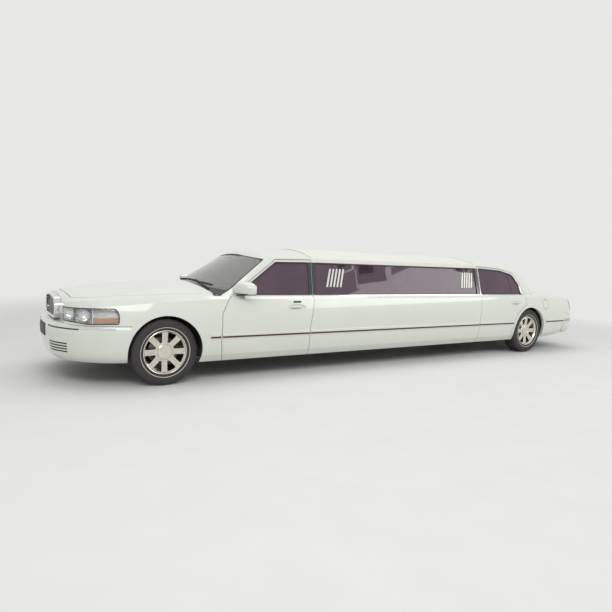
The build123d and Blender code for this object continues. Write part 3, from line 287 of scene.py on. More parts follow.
def cubeGrid(cells):
    # the six faces of a cube from -1 to 1 as one grid mesh
    points, faces, start = [], [], 0
    for axis in range(3):
        a, b = [k for k in range(3) if k != axis]
        u, v = np.meshgrid(np.linspace(-1, 1, cells[a] + 1), np.linspace(-1, 1, cells[b] + 1), indexing="ij")
        for end in (-1, 1):
            p = np.empty(u.shape + (3,))
            p[..., a], p[..., b], p[..., axis] = u, v, end
            points.append(p.reshape(-1, 3))
            faces.append(gridFaces(cells[a] + 1, cells[b] + 1) + start)
            start += p.size // 3
    raw, index = np.unique(np.round(np.concatenate(points), 6), axis=0, return_inverse=True)
    return raw, index.reshape(-1)[np.concatenate(faces)].tolist()


def roundedCube(raw, half, power):
    # a cube's points divided by their own p-norm, then sized
    return raw / (np.abs(raw) ** power).sum(1, keepdims=True) ** (1 / power) * np.asarray(half)


def blockShape(centre, half, power, cells):
    # a rounded block in its place
    raw, faces = cubeGrid(cells)
    return roundedCube(raw, half, power) + np.asarray(centre), faces


# The shared shader group and the materials
def addNode(tree, kind, inputs=None, **settings):
    # a node with its settings; an input given as a socket is linked, any other is set
    node = tree.nodes.new("ShaderNode" + kind)
    for key, value in settings.items():
        setattr(node, key, value)
    for key, value in (inputs or {}).items():
        if isinstance(value, bpy.types.NodeSocket):
            tree.links.new(value, node.inputs[key])
        else:
            node.inputs[key].default_value = value
    return node


def makeGrainGroup():
    # mottled colour and roughness from one noise, bumps from a finer noise or from cells, a browner, rougher
    # tint that grows towards the ground
    group = bpy.data.node_groups.new("surfaceGrain", "ShaderNodeTree")
    number, colour, vector = "NodeSocketFloat", "NodeSocketColor", "NodeSocketVector"
    inputs = {
        "Place": (vector, (0, 0, 0)), "Colour A": (colour, (1, 1, 1, 1)), "Colour B": (colour, (1, 1, 1, 1)),
        "Scale": (number, 5.0), "Rough Low": (number, 0.3), "Rough High": (number, 0.5),
        "Bump": (number, 0.0002), "Bump Scale": (number, 200.0), "Cells": (number, 0.0),
        "Ground Tint Colour": (colour, (0.3, 0.27, 0.22, 1)), "Ground Tint Height": (number, 0.3), "Ground Tint": (number, 0.0),
    }
    for name, (kind, value) in inputs.items():
        socket = group.interface.new_socket(name=name, in_out="INPUT", socket_type=kind)
        socket.default_value = value
    for name, kind in (("Colour", colour), ("Roughness", number), ("Normal", vector)):
        group.interface.new_socket(name=name, in_out="OUTPUT", socket_type=kind)
    given = group.nodes.new("NodeGroupInput").outputs
    result = group.nodes.new("NodeGroupOutput").inputs

    broad = addNode(group, "TexNoise", {"Vector": given["Place"], "Scale": given["Scale"], "Detail": 5})
    spread = addNode(group, "MapRange", {"Value": broad.outputs["Fac"], "From Min": 0.3, "From Max": 0.7})
    spread = spread.outputs["Result"]
    mottle = addNode(group, "Mix", {"Factor": spread, "A": given["Colour A"], "B": given["Colour B"]},
                     data_type="RGBA")
    rough = addNode(group, "MapRange", {"Value": spread, "To Min": given["Rough Low"],
                                        "To Max": given["Rough High"]})

    fine = addNode(group, "TexNoise", {"Vector": given["Place"], "Scale": given["Bump Scale"], "Detail": 3})
    cells = addNode(group, "TexVoronoi", {"Vector": given["Place"], "Scale": given["Bump Scale"]},
                    feature="DISTANCE_TO_EDGE")
    height = addNode(group, "Mix", {"Factor": given["Cells"], "A": fine.outputs["Fac"],
                                    "B": cells.outputs["Distance"]}, data_type="FLOAT")
    bump = addNode(group, "Bump", {"Height": height.outputs["Result"], "Distance": given["Bump"]})

    # below the given height the colour turns browner and the roughness higher, more so nearer the ground
    split = addNode(group, "SeparateXYZ", {"Vector": given["Place"]})
    low = addNode(group, "MapRange", {"Value": split.outputs["Z"], "From Max": given["Ground Tint Height"],
                                      "To Min": 1, "To Max": 0}, interpolation_type="SMOOTHSTEP")
    groundTintAmount = addNode(group, "Math", {0: low.outputs["Result"], 1: given["Ground Tint"]}, operation="MULTIPLY")
    groundTintAmount = groundTintAmount.outputs["Value"]
    groundTinted = addNode(group, "Mix", {"Factor": groundTintAmount, "A": mottle.outputs["Result"], "B": given["Ground Tint Colour"]},
                    data_type="RGBA")
    dull = addNode(group, "Math", {0: groundTintAmount, 1: 0.4, 2: rough.outputs["Result"]}, operation="MULTIPLY_ADD",
                   use_clamp=True)
    group.links.new(groundTinted.outputs["Result"], result["Colour"])
    group.links.new(dull.outputs["Value"], result["Roughness"])
    group.links.new(bump.outputs["Normal"], result["Normal"])
    return group


surfaceGrain = makeGrainGroup()


def makeMaterial(name, colourA, colourB, scale=6, rough=(0.3, 0.45), bump=0.0, bumpScale=300, cells=0.0,
                 groundTint=0.0, groundTintHeight=0.35, **sockets):
    # one Principled shader fed by the grain group; sockets are plain values of the shader
    mat = bpy.data.materials.new(name)
    mat.use_nodes = True
    tree = mat.node_tree
    shader = tree.nodes["Principled BSDF"]
    place = addNode(tree, "TexCoord").outputs["Object"]
    grain = addNode(tree, "Group", {
        "Place": place, "Colour A": (*colourA, 1), "Colour B": (*colourB, 1), "Scale": scale,
        "Rough Low": rough[0], "Rough High": rough[1], "Bump": bump, "Bump Scale": bumpScale,
        "Cells": cells, "Ground Tint": groundTint, "Ground Tint Height": groundTintHeight,
    }, node_tree=surfaceGrain)
    tree.links.new(grain.outputs["Colour"], shader.inputs["Base Color"])
    tree.links.new(grain.outputs["Roughness"], shader.inputs["Roughness"])
    if bump:
        tree.links.new(grain.outputs["Normal"], shader.inputs["Normal"])
    for key, value in sockets.items():
        shader.inputs[key.replace("_", " ")].default_value = value
    mat.diffuse_color = (*colourA, 1)
    return mat


# the white paint turns browner and rougher towards the ground, up to 0.42 m
paint = makeMaterial("whitePaint", (0.70, 0.72, 0.655), (0.675, 0.695, 0.63), 2.5, (0.28, 0.36), 0.00003, 900,
                     groundTint=0.35, groundTintHeight=0.42, Coat_Weight=1.0, Coat_Roughness=0.03)
vinyl = makeMaterial("roofVinyl", (0.72, 0.725, 0.66), (0.69, 0.695, 0.63), 6, (0.48, 0.60), 0.0005, 260, 0.7)
darkGlass = makeMaterial("tintedGlass", (0.21, 0.13, 0.18), (0.17, 0.105, 0.15), 2, (0.02, 0.04),
                         Transmission_Weight=0.58, IOR=1.45)
screenGlass = makeMaterial("screenGlass", (0.66, 0.68, 0.64), (0.60, 0.62, 0.58), 2, (0.02, 0.04),
                           Transmission_Weight=0.80, IOR=1.52)
lensGlass = makeMaterial("clearLens", (0.96, 0.97, 0.97), (0.92, 0.93, 0.93), 5, (0.02, 0.06),
                         Transmission_Weight=1.0, IOR=1.45)
amberLens = makeMaterial("amberLens", (0.96, 0.56, 0.36), (0.92, 0.48, 0.30), 9, (0.08, 0.14), 0.0008, 120, 1.0,
                         Transmission_Weight=0.30, IOR=1.45)
redLens = makeMaterial("redLens", (0.50, 0.012, 0.015), (0.40, 0.01, 0.012), 9, (0.06, 0.12), 0.0008, 110, 1.0,
                       Transmission_Weight=0.3, IOR=1.45, Coat_Weight=0.6)
chrome = makeMaterial("chromeTrim", (0.80, 0.80, 0.80), (0.74, 0.74, 0.74), 14, (0.04, 0.10), 0.00002, 500,
                      Metallic=1.0)
gasket = makeMaterial("rubberGasket", (0.018, 0.018, 0.02), (0.03, 0.03, 0.032), 20, (0.45, 0.6), 0.0001, 700)
blackGloss = makeMaterial("blackPillar", (0.016, 0.013, 0.018), (0.02, 0.017, 0.023), 6, (0.08, 0.14),
                          Coat_Weight=0.8)
alloy = makeMaterial("wheelAlloy", (0.74, 0.71, 0.64), (0.64, 0.61, 0.54), 30, (0.18, 0.30), 0.00005, 900,
                     Metallic=1.0, Coat_Weight=0.4, Coat_Roughness=0.1)
tyreRubber = makeMaterial("tyreRubber", (0.030, 0.026, 0.028), (0.050, 0.044, 0.045), 18, (0.7, 0.88),
                          0.0004, 500)
tyreStripe = makeMaterial("tyreStripe", (0.74, 0.71, 0.66), (0.62, 0.59, 0.53), 40, (0.6, 0.75), 0.0001, 600)
castMetal = makeMaterial("castIron", (0.11, 0.105, 0.10), (0.19, 0.16, 0.13), 12, (0.6, 0.85), 0.0008, 160,
                         Metallic=0.6)
frameBlack = makeMaterial("chassisBlack", (0.022, 0.022, 0.023), (0.06, 0.052, 0.045), 7, (0.45, 0.75),
                          0.0005, 200)
exhaustSteel = makeMaterial("exhaustSteel", (0.34, 0.31, 0.27), (0.22, 0.16, 0.12), 9, (0.35, 0.6), 0.0002, 90,
                            Metallic=0.9)
plastic = makeMaterial("darkPlastic", (0.035, 0.034, 0.034), (0.055, 0.053, 0.052), 10, (0.45, 0.6),
                       0.0004, 420, 0.6)
leather = makeMaterial("blackLeather", (0.05, 0.045, 0.043), (0.085, 0.078, 0.073), 7, (0.42, 0.6),
                       0.0009, 330, 0.8, Specular_IOR_Level=0.45)
carpet = makeMaterial("cabinCarpet", (0.045, 0.042, 0.04), (0.085, 0.08, 0.076), 60, (0.85, 0.97), 0.003, 600)
headLining = makeMaterial("headLining", (0.40, 0.38, 0.34), (0.34, 0.32, 0.29), 60, (0.85, 0.95), 0.001, 800)
discSteel = makeMaterial("brakeSteel", (0.42, 0.40, 0.38), (0.30, 0.27, 0.24), 25, (0.25, 0.45), 0.0002, 150,
                         Metallic=1.0)
# chrome trim lines, half metallic, whose dark plum colour is a painted reflection of the dark ground
chromePaintedReflection = makeMaterial("tintedTrimLine", (0.115, 0.055, 0.075), (0.085, 0.042, 0.06), 14, (0.14, 0.24),
                          0.00002, 500, Metallic=0.55)
lampInside = makeMaterial("lampHousing", (0.80, 0.81, 0.80), (0.72, 0.73, 0.73), 40, (0.16, 0.28),
                          0.0006, 90, 0.8, Metallic=0.6)
mirrorFace = makeMaterial("mirrorFace", (0.82, 0.84, 0.86), (0.80, 0.82, 0.84), 3, (0.01, 0.02), Metallic=1.0)

# The roof: paint ahead of the front seam, grained vinyl behind it
roofSeams = {"front": frontX - 1.930, "rear": rearX + 1.062}
roofCover = makeMaterial("roofPaintAndVinyl", (0.70, 0.72, 0.655), (0.675, 0.695, 0.63), 2.5, (0.28, 0.36),
                         0.00003, 900, Coat_Roughness=0.03)


def coverWithVinyl(mat):
    # where X lies behind the front seam, the vinyl's colour, roughness and grain take the paint's place
    tree = mat.node_tree
    shader = tree.nodes["Principled BSDF"]
    painted, source = (next(n for n in m.node_tree.nodes if n.type == "GROUP") for m in (mat, vinyl))
    place = painted.inputs["Place"].links[0].from_socket
    values = {socket.name: socket.default_value for socket in source.inputs}
    covered = addNode(tree, "Group", {**values, "Place": place}, node_tree=surfaceGrain)
    split = addNode(tree, "SeparateXYZ", {"Vector": place})
    behind = addNode(tree, "Math", {0: split.outputs["X"], 1: roofSeams["front"]}, operation="LESS_THAN")
    behind = behind.outputs["Value"]
    ahead = addNode(tree, "Math", {0: 1.0, 1: behind}, operation="SUBTRACT")
    tree.links.new(ahead.outputs["Value"], shader.inputs["Coat Weight"])
    for kind, name, target in (("RGBA", "Colour", "Base Color"), ("FLOAT", "Roughness", "Roughness"),
                               ("VECTOR", "Normal", "Normal")):
        mix = addNode(tree, "Mix", {"Factor": behind, "A": painted.outputs[name], "B": covered.outputs[name]},
                      data_type=kind)
        tree.links.new(mix.outputs["Result"], shader.inputs[target])


coverWithVinyl(roofCover)
print("materials made")

# CAD nodes that keep their own shape get their finish here
finishOf = {
    "headlamps": lensGlass, "grille": chrome, "windscreen": screenGlass, "rear_window": darkGlass,
    "stretch_windows": darkGlass, "tail_lamps": redLens, "wheelhouse_liners": plastic, "cowl": plastic,
    "frame_rails": frameBlack, "cross_members": frameBlack, "radiator": frameBlack, "fuel_tank": frameBlack,
    "engine": castMetal, "driveline": castMetal, "rear_axle": castMetal, "front_suspension": castMetal,
    "knuckle_left": castMetal, "knuckle_right": castMetal, "exhaust": exhaustSteel, "roof_shell": roofCover,
    "dashboard": plastic, "steering_wheel": plastic, "partition": leather, "front_seats": leather,
    "lounge_seats": leather, "rear_seat": leather, "floor_pan": carpet, "rear_floor": carpet,
}
for name, obj in frame["nodes"].items():
    finish = finishOf.get(name, paint)
    if "glass" in name:
        finish = darkGlass
    if name.startswith("rim"):
        finish = alloy
    if name.startswith("tyre"):
        finish = tyreRubber
    obj.data.materials.clear()
    obj.data.materials.append(finish)

# Outlines shared with the frame: (x, z, corner radius)
frontWindow = [(frontX - 0.803, 0.942, 0.020), (frontX - 1.383, 1.320, 0.040), (frontX - 1.846, 1.328, 0.015),
               (frontX - 1.780, 0.942, 0.015)]
rearWindow = [(rearX + 1.128, 0.942, 0.015), (rearX + 1.042, 1.328, 0.015), (rearX + 0.538, 1.306, 0.300),
              (rearX + 0.260, 1.246, 0.120), (rearX + 0.168, 1.090, 0.120), (rearX + 0.158, 0.942, 0.020)]
longWindow = [(frontX - 1.868, 0.942, 0.015), (frontX - 1.946, 1.328, 0.015), (rearX + 1.121, 1.328, 0.015),
              (rearX + 1.222, 0.942, 0.015)]

# Window edges: a black gasket round each side window, chrome round the rear door's
edging = {"gasketWidth": 0.016, "gasketHeight": 0.0025, "chromeWidth": 0.014, "chromeHeight": 0.006,
          "chromeOut": 0.014}
for side, s in sides:
    for name, outline, body in (("front", frontWindow, f"front_door_{side}"),
                                ("rear", rearWindow, f"rear_door_{side}"), ("long", longWindow, "body")):
        line = onCabin(roundedLoop(outline), s)
        shape = swept(*line, strip(edging["gasketWidth"], edging["gasketHeight"]), True)
        putMesh(f"gasket_{name}_{side}", *shape, gasket, body)
    line = onCabin(shrunk(roundedLoop(rearWindow, 14), -edging["chromeOut"]), s)
    shape = swept(*line, strip(edging["chromeWidth"], edging["chromeHeight"]), True)
    putMesh(f"window_chrome_{side}", *shape, chrome, f"rear_door_{side}")

# Chrome strip along the foot of the side windows, one length on each door and panel
belt = {"z": 0.9365, "width": 0.015, "height": 0.006}
beltRuns = {"front_door": (frontX - 0.735, frontX - 1.818), "body": (frontX - 1.832, rearX + 1.188),
            "rear_door": (rearX + 1.174, rearX + 0.106)}
for side, s in sides:
    for name, (start, end) in beltRuns.items():
        line = onCabin(np.linspace((start, belt["z"]), (end, belt["z"]), 12), s)
        body = name if name == "body" else f"{name}_{side}"
        putMesh(f"belt_{name}_{side}", *swept(*line, strip(belt["width"], belt["height"])), chrome, body)


# Black covers on the pillars between the windows
def patchOnCabin(name, corners, s, thick, material, body):
    # a thin plate whose rounded outline lies on the flat cabin side, open below where it sinks in
    loop = roundedLoop(corners, 5)
    count, sink = len(loop), -0.0005
    outlines = (loop, sink), (loop, thick), (shrunk(loop, thick), thick)
    rings = [onCabin(outline, s, lift)[0] for outline, lift in outlines]
    faces = gridFaces(3, count, False, True).tolist() + [list(range(2 * count, 3 * count))]
    putMesh(name, np.concatenate(rings), faces, material, body, crease=50)


# Each cover: the body it rides on, its axle, and (x, radius) at its corners, up one edge and down the other
pillar = {"low": 0.946, "high": 1.334, "thick": 0.0015, "covers": {
    "front_door": ("front_door", frontX, ((-1.773, 0.003), (-1.841, 0.003), (-1.887, 0.002), (-1.8215, 0.002))),
    "front": ("body", frontX, ((-1.8295, 0.002), (-1.8950, 0.002), (-1.952, 0.003), (-1.875, 0.003))),
    "rear_door": ("rear_door", rearX, ((1.121, 0.003), (1.035, 0.003), (1.0750, 0.002), (1.1605, 0.002))),
    "rear": ("body", rearX, ((1.1685, 0.002), (1.0830, 0.002), (1.128, 0.003), (1.229, 0.003))),
}}
for side, s in sides:
    heights = (pillar["low"], pillar["high"], pillar["high"], pillar["low"])
    for name, (body, wheelX, edges) in pillar["covers"].items():
        corners = [(wheelX + x, z, radius) for (x, radius), z in zip(edges, heights)]
        body = body if body == "body" else f"{body}_{side}"
        patchOnCabin(f"pillar_{name}_{side}", corners, s, pillar["thick"], blackGloss, body)

# Slanted bars near each end of the long window
bars = {"count": 5, "pitch": 0.052, "width": 0.024, "height": 0.0055, "edge": 0.45, "sink": -0.004,
        "low": 1.040, "high": 1.262, "lean": -0.105, "first": (frontX - 2.065, rearX + 1.520)}
for side, s in sides:
    for group, start in enumerate(bars["first"]):
        parts = []
        for n in range(bars["count"]):
            x = start - n * bars["pitch"]
            line = np.linspace((x, bars["low"]), (x + bars["lean"], bars["high"]), 9)
            section = strip(bars["width"], bars["height"], bars["edge"])
            parts.append(swept(*onCabin(line, s, bars["sink"]), section))
        putMesh(f"window_bars_{group}_{side}", *joinMeshes(parts), paint, "body")
print("windows trimmed")

# Side mouldings at bumper height: a white strip, crisp above and faded out below, with a chrome line in it whose
# dark plum colour is a painted reflection of the dark ground
moulding = {"z": 0.498, "lineWidth": 0.021, "lineHeight": 0.0095,
            "section": [(-0.034, -0.0015), (-0.026, 0.0025), (-0.016, 0.006), (0.014, 0.007), (0.034, 0.0055),
                        (0.039, 0.0025), (0.040, -0.0015)]}
mouldingRuns = [
    ("fender", "body", "front_fenders", frontX - 0.470, frontX - 0.582),
    ("front_door", "front_door", "door_front", frontX - 0.606, frontX - 1.734),
    ("panel", "body", "stretch_panels", frontX - 1.752, rearX + 1.258),
    ("rear_door", "rear_door", "door_rear", rearX + 1.236, rearX + 0.440),
    ("quarter", "body", "quarter_panels", rearX - 0.430, rearX - 0.975),
]
for side, s in sides:
    for name, body, node, start, end in mouldingRuns:
        node = f"{node}_{side}" if node.startswith("door") else node
        body = body if body == "body" else f"{body}_{side}"
        line = onSide([node], np.linspace(start, end, 30), moulding["z"], s)
        section = np.array(moulding["section"]) * (-s, 1)
        putMesh(f"moulding_{name}_{side}", *swept(*line, section), paint, body)
        shape = swept(*line, strip(moulding["lineWidth"], moulding["lineHeight"]))
        putMesh(f"moulding_line_{name}_{side}", *shape, chromePaintedReflection, body)


# Door handles: a white oval cup with a pull over its dark slot and a lock behind it, and the keypad above
def raised(loop, rings):
    # a domed plate: the outline (along, up) at each (share of its size, out)
    share, out = np.array(rings, float).T[..., None]
    along, up = loop.T
    points = np.stack(np.broadcast_arrays(along * share, out, up * share), -1)
    return points, gridFaces(len(rings), len(loop), False, True)


handle = {
    "half": (0.122, 0.028), "pull": 0.086, "pullAt": 0.018, "pullOut": 0.024, "pullRise": 0.004,
    "pullHalf": (0.0125, 0.006), "slotHalf": (0.074, 0.0022, 0.0045), "lockAt": -0.094,
    # a rounded rim round a shallow hollow
    "cup": [(1.06, -0.005), (1.04, 0.004), (0.98, 0.0075), (0.90, 0.0075), (0.80, 0.004), (0.55, 0.001),
            (0.01, 0.001)],
    "lock": [(0, 0.012), (0.003, 0.012), (0.0032, 0.0095), (0.0075, 0.0095), (0.0085, 0.008), (0.0085, 0),
             (0, 0)],
}
turn = np.linspace(0, 2 * np.pi, 48, endpoint=False)
wide, tall = (np.sign(f(turn)) * np.abs(f(turn)) ** p for f, p in ((np.cos, 0.75), (np.sin, 0.9)))
t = np.linspace(-1, 1, 25)
path = np.stack([handle["pullAt"] + t * handle["pull"], handle["pullOut"] * (1 - t**6) + 0.001,
                 handle["pullRise"] * (1 - t**2)], -1)
handleParts = {
    "cup": (raised(np.stack([wide, tall], -1) * handle["half"], handle["cup"]), paint),
    "pull": (swept(path, (0, 1, 0), tubeProfile(1, 12) * handle["pullHalf"]), paint),
    "slot": (blockShape((handle["pullAt"], 0.002, -0.014), handle["slotHalf"], 5, (12, 4, 4)), gasket),
    "lock": (turned(handle["lock"], 24, False, (handle["lockAt"], 0, 0)), chrome),
}
keypad = {"half": (0.055, 0.011), "radius": 0.009,
          "rings": [(1, -0.006), (1, 0.002), (0.92, 0.003), (0.02, 0.003)]}
loop = roundedLoop([(x * keypad["half"][0], z * keypad["half"][1], keypad["radius"])
                    for x, z in ((-1, -1), (1, -1), (1, 1), (-1, 1))], 5)
keypadShape = raised(loop, keypad["rings"])
for side, s in sides:
    for name, x, z in (("front", frontX - 1.560, 0.812), ("rear", rearX + 0.375, 0.815)):
        origin, _ = onSide([f"door_{name}_{side}"], x, z, s)
        for part, (shape, material) in handleParts.items():
            putMesh(f"handle_{part}_{name}_{side}", *placed(shape, s, origin), material, f"{name}_door_{side}")
    origin, _ = onSide([f"door_front_{side}"], frontX - 1.570, 0.868, s)
    putMesh(f"keypad_{side}", *placed(keypadShape, s, origin), gasket, f"front_door_{side}")
print("side trimmed")


# Wheels: turned barrel and hub, eight grooved spokes, tyre with a cut tread
wheel = {"spokes": 8, "spokeWidth": 0.062, "spokeFrom": 0.080, "spokeTo": 0.2125, "face": 0.066, "dish": 0.010}
barrel = [(0.2255, -0.098), (0.2330, -0.100), (0.2330, -0.093), (0.2215, -0.091), (0.2215, -0.078),
          (0.2130, -0.060), (0.2130, 0.030), (0.2215, 0.060), (0.2215, 0.091), (0.2330, 0.093),
          (0.2330, 0.100), (0.2290, 0.1025), (0.2235, 0.1000), (0.2180, 0.0900), (0.2085, 0.0800),
          (0.2060, 0.0500), (0.2060, -0.0950)]
hub = [(0.0, -0.030), (0.085, -0.030), (0.092, 0.015), (0.1035, 0.045), (0.1065, 0.0620), (0.1030, 0.0685),
       (0.0980, 0.0700), (0.0870, 0.0700), (0.0845, 0.0660), (0.0800, 0.0655), (0.0780, 0.0715),
       (0.0730, 0.0755), (0.0600, 0.0770), (0.0520, 0.0760), (0.0300, 0.0770), (0.0, 0.0775)]


def spokeShape(angle):
    # a bar from hub to barrel: rounded top with a groove down its middle, wider at both ends
    r = np.linspace(wheel["spokeFrom"], wheel["spokeTo"], 12)
    along = (r - r[0]) / (r[-1] - r[0])
    half = wheel["spokeWidth"] / 2 * (1 + 0.06 * along + 0.30 * np.exp(-((1 - along) / 0.07) ** 2))
    top = wheel["face"] + wheel["dish"] * np.sin(along * np.pi / 2)
    across = np.array([-1, -1, -0.93, -0.78, -0.36, -0.26, 0, 0.26, 0.36, 0.78, 0.93, 1, 1, 0.6, -0.6])
    drop = np.array([-0.022, -0.006, -0.0015, 0, 0, -0.004, -0.005, -0.004, 0, 0, -0.0015, -0.006, -0.022,
                     -0.030, -0.030])
    x, y, z = np.tile(r[:, None], len(across)), top[:, None] + drop, half[:, None] * across
    c, s = math.cos(angle), math.sin(angle)
    return np.stack([x * c - z * s, y, x * s + z * c], -1), tubeFaces(len(r), len(across))


tread = {"radius": 0.351, "half": 0.092, "crown": 0.0030, "steps": 240, "rows": 57, "pitches": 60,
         "depth": 0.0075, "grooves": (-0.054, -0.018, 0.018, 0.054), "grooveHalf": 0.0046, "cutShare": 0.26,
         "cutSlant": 14, "cutFrom": 0.022, "cutDepth": 0.7}


def tyreShape():
    # the section: bead, bulged wall, rounded shoulder, flat tread; grooves and slanted cuts lower the tread
    wall = np.array([(0.2225, -0.0925), (0.2345, -0.0925), (0.2420, -0.1000), (0.2620, -0.1095),
                     (0.2860, -0.1140), (0.3100, -0.1125), (0.3300, -0.1060), (0.3420, -0.0985)])
    out = np.linspace(-tread["half"], tread["half"], tread["rows"])
    crown = tread["radius"] - tread["crown"] * (np.abs(out) / tread["half"]) ** 4
    section = np.concatenate([wall, np.stack([crown, out], -1), wall[::-1] * (1, -1)])
    turn = np.linspace(0, 2 * np.pi, tread["steps"], endpoint=False)[:, None]
    y = section[:, 1]
    onTread = np.abs(y) <= tread["half"] + 1e-6
    inGroove = (np.abs(y[:, None] - tread["grooves"]) < tread["grooveHalf"]).any(1)
    phase = turn * tread["pitches"] / (2 * np.pi) + np.abs(y) * tread["cutSlant"]
    inCut = (np.mod(phase, 1) < tread["cutShare"]) & (np.abs(y) > tread["cutFrom"])
    depth = np.maximum(inGroove * tread["depth"], inCut * tread["depth"] * tread["cutDepth"]) * onTread
    radius = section[:, 0] - depth
    points = np.stack([np.cos(turn) * radius, np.broadcast_to(y, radius.shape), np.sin(turn) * radius], -1)
    return points, gridFaces(len(turn), len(section), True, True)


spokes = [spokeShape(2 * math.pi * n / wheel["spokes"]) for n in range(wheel["spokes"])]
wheelParts = {
    "wheel": (joinMeshes([turned(barrel, 96), turned(hub, 64, False)] + spokes), alloy, "rim", 30),
    "disc": (joinMeshes([
        turned([(0.070, -0.034), (0.150, -0.034), (0.150, -0.026), (0.070, -0.026)], 72),
        turned([(0.070, -0.022), (0.150, -0.022), (0.150, -0.014), (0.070, -0.014)], 72),
        turned([(0.030, -0.033), (0.078, -0.033), (0.078, -0.006), (0.030, -0.006)], 48),
    ]), discSteel, None, 35),
    "stripe": (turned([(0.2585, 0.1068), (0.2595, 0.1098), (0.2640, 0.1114), (0.2650, 0.1092)], 96),
               tyreStripe, None, 35),
}
tyre = tyreShape()
for end in ("front", "rear"):
    for side, s in sides:
        low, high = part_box(f"tyre_{end}_{side}")
        centre, at = np.array((low + high) / 2), f"{end}_{side}"
        putMesh(f"tyre_{at}_cut", *placed(tyre, s, centre), tyreRubber, f"wheel_{at}", f"tyre_{at}", 30)
        for name, (shape, material, node, crease) in wheelParts.items():
            node = f"{node}_{at}" if node else None
            putMesh(f"{name}_{at}", *placed(shape, s, centre), material, f"wheel_{at}", node, crease)
print("wheels made")

# Headlamps: clear cover, bright housing with two reflectors, amber corner, black edge
headlamp = {"thick": 0.003, "depth": 0.052, "inset": 0.004, "innerY": 0.460, "rows": 90, "cols": 22,
            "bowls": (0.19, 0.44), "bowlRadius": 0.053, "bowlSink": 0.018, "amber": (0.58, 0.955),
            "edgeWidth": 0.009, "edgeHeight": 0.0016}
lampOutline = [(frontX + 0.472, 0.655, 0.025), (frontX + 0.735, 0.646, 0.060), (frontX + 0.990, 0.676, 0.001),
               (frontX + 0.990, 0.798, 0.001), (frontX + 0.486, 0.812, 0.040), (frontX + 0.462, 0.752, 0.060)]
frontSkin = ["headlamps", "front_fenders", "nose_panel", "hood", "front_bumper"]
lampMiddle = (frontX + 0.60, 0.32)
loop = shrunk(roundedLoop(lampOutline, 14), headlamp["inset"])
rearmost = loop[loop[:, 0].argmin()]
low, high = loop[loop[:, 1] <= rearmost[1]], loop[loop[:, 1] >= rearmost[1]]
low, high = low[low[:, 0].argsort()], high[high[:, 0].argsort()]
# the angles at which the lamp starts ahead and ends beside the fender
sample = np.radians(np.linspace(20, 108, 200))
reach, _ = wrapped(frontSkin, lampMiddle, sample, rearmost[1])
ahead, beside = reach[:, 1] < 0.55, reach[:, 0] < lampMiddle[0]
firstAngle = np.interp(headlamp["innerY"], reach[ahead, 1], sample[ahead])
lastAngle = np.interp(-rearmost[0] - 0.0005, -reach[beside, 0], sample[beside])
# rows stand closer together towards the sharp rear end, and each spans the outline's height there
t = 1 - (1 - np.linspace(0, 1, headlamp["rows"])) ** 1.4
lampAngles = firstAngle + (lastAngle - firstAngle) * t
reach, _ = wrapped(frontSkin, lampMiddle, lampAngles, rearmost[1])
v = np.linspace(0, 1, headlamp["cols"])
zLow, zHigh = (np.interp(reach[:, 0], *edge.T)[:, None] for edge in (low, high))
lampSkin, lampNormal = wrapped(frontSkin, lampMiddle, lampAngles[:, None], zLow + (zHigh - zLow) * v)
lampNormal = smoothed(lampNormal, 6)
putMesh("headlamp_cover", *both(sheetOver(lampSkin, lampNormal, 0.0004, -headlamp["thick"])), lensGlass, "body",
        "headlamps", 60)
endFade = 1 - np.abs(2 * np.linspace(0, 1, headlamp["rows"]) - 1) ** 14
depth = 0.005 + headlamp["depth"] * (endFade[:, None] * (1 - np.abs(2 * v - 1) ** 6)[None])[..., None]
putMesh("headlamp_housing", *both(sheetOver(lampSkin, lampNormal, -depth, -depth - 0.002)), lampInside, "body")
section = strip(headlamp["edgeWidth"], headlamp["edgeHeight"])
putMesh("headlamp_edge", *both(swept(borderOf(lampSkin), borderOf(lampNormal), section, True)), gasket, "body")
bowlLine = np.array([(0, -0.72), (0.33, -0.70), (0.75, -0.46), (1.0, 0.0), (1.0, 0.04), (0.94, 0.04),
                     (0.70, -0.40), (0.30, -0.62), (0.19, -0.64), (0.19, -0.30), (0.12, -0.20), (0, -0.17)])
bowls = []
for place in headlamp["bowls"]:
    at = (int(place * (headlamp["rows"] - 1)), headlamp["cols"] // 2)
    centre, facing = lampSkin[at] - lampNormal[at] * headlamp["bowlSink"], lampNormal[at] + (0.3, 0, 0)
    bowls.append(turned(bowlLine * headlamp["bowlRadius"], 40, False, centre, facing))
putMesh("headlamp_reflectors", *both(joinMeshes(bowls)), chrome, "body")
first, last = (int(share * (headlamp["rows"] - 1)) for share in headlamp["amber"])
for name, rows, cols, high, low, material in (
        ("headlamp_amber", slice(first, last), slice(2, 10), -0.007, -0.012, amberLens),
        ("headlamp_divider", slice(first - 2, first), slice(1, 21), -0.004, -0.040, chrome)):
    shape = sheetOver(lampSkin[rows, cols], lampNormal[rows, cols], high, low)
    putMesh(name, *both(shape), material, "body")
print("headlamps made")

# Grille backing, bumper strips, lower vents and blank plate holder
shieldHalf = [(0.255, 0.650, 0.040), (0.318, 0.705, 0.080), (0.330, 0.800, 0.060), (0.268, 0.878, 0.050)]


def mirrored(half, top=(), foot=()):
    # an outline's left corners (y, z, radius) with their mirror image, and corners on the middle line between
    return half + [*top] + [(-y, z, radius) for y, z, radius in reversed(half)] + [*foot]


shieldLoop = shrunk(roundedLoop(mirrored(shieldHalf, [(0, 0.906, 1.5)]), 8), 0.024)
count = len(shieldLoop)
backing = [np.stack([np.full(count, frontX + x), *shieldLoop.T], -1) for x in (0.908, 0.912)]
putMesh("grille_backing", np.array(backing), tubeFaces(2, count), plastic, "body")
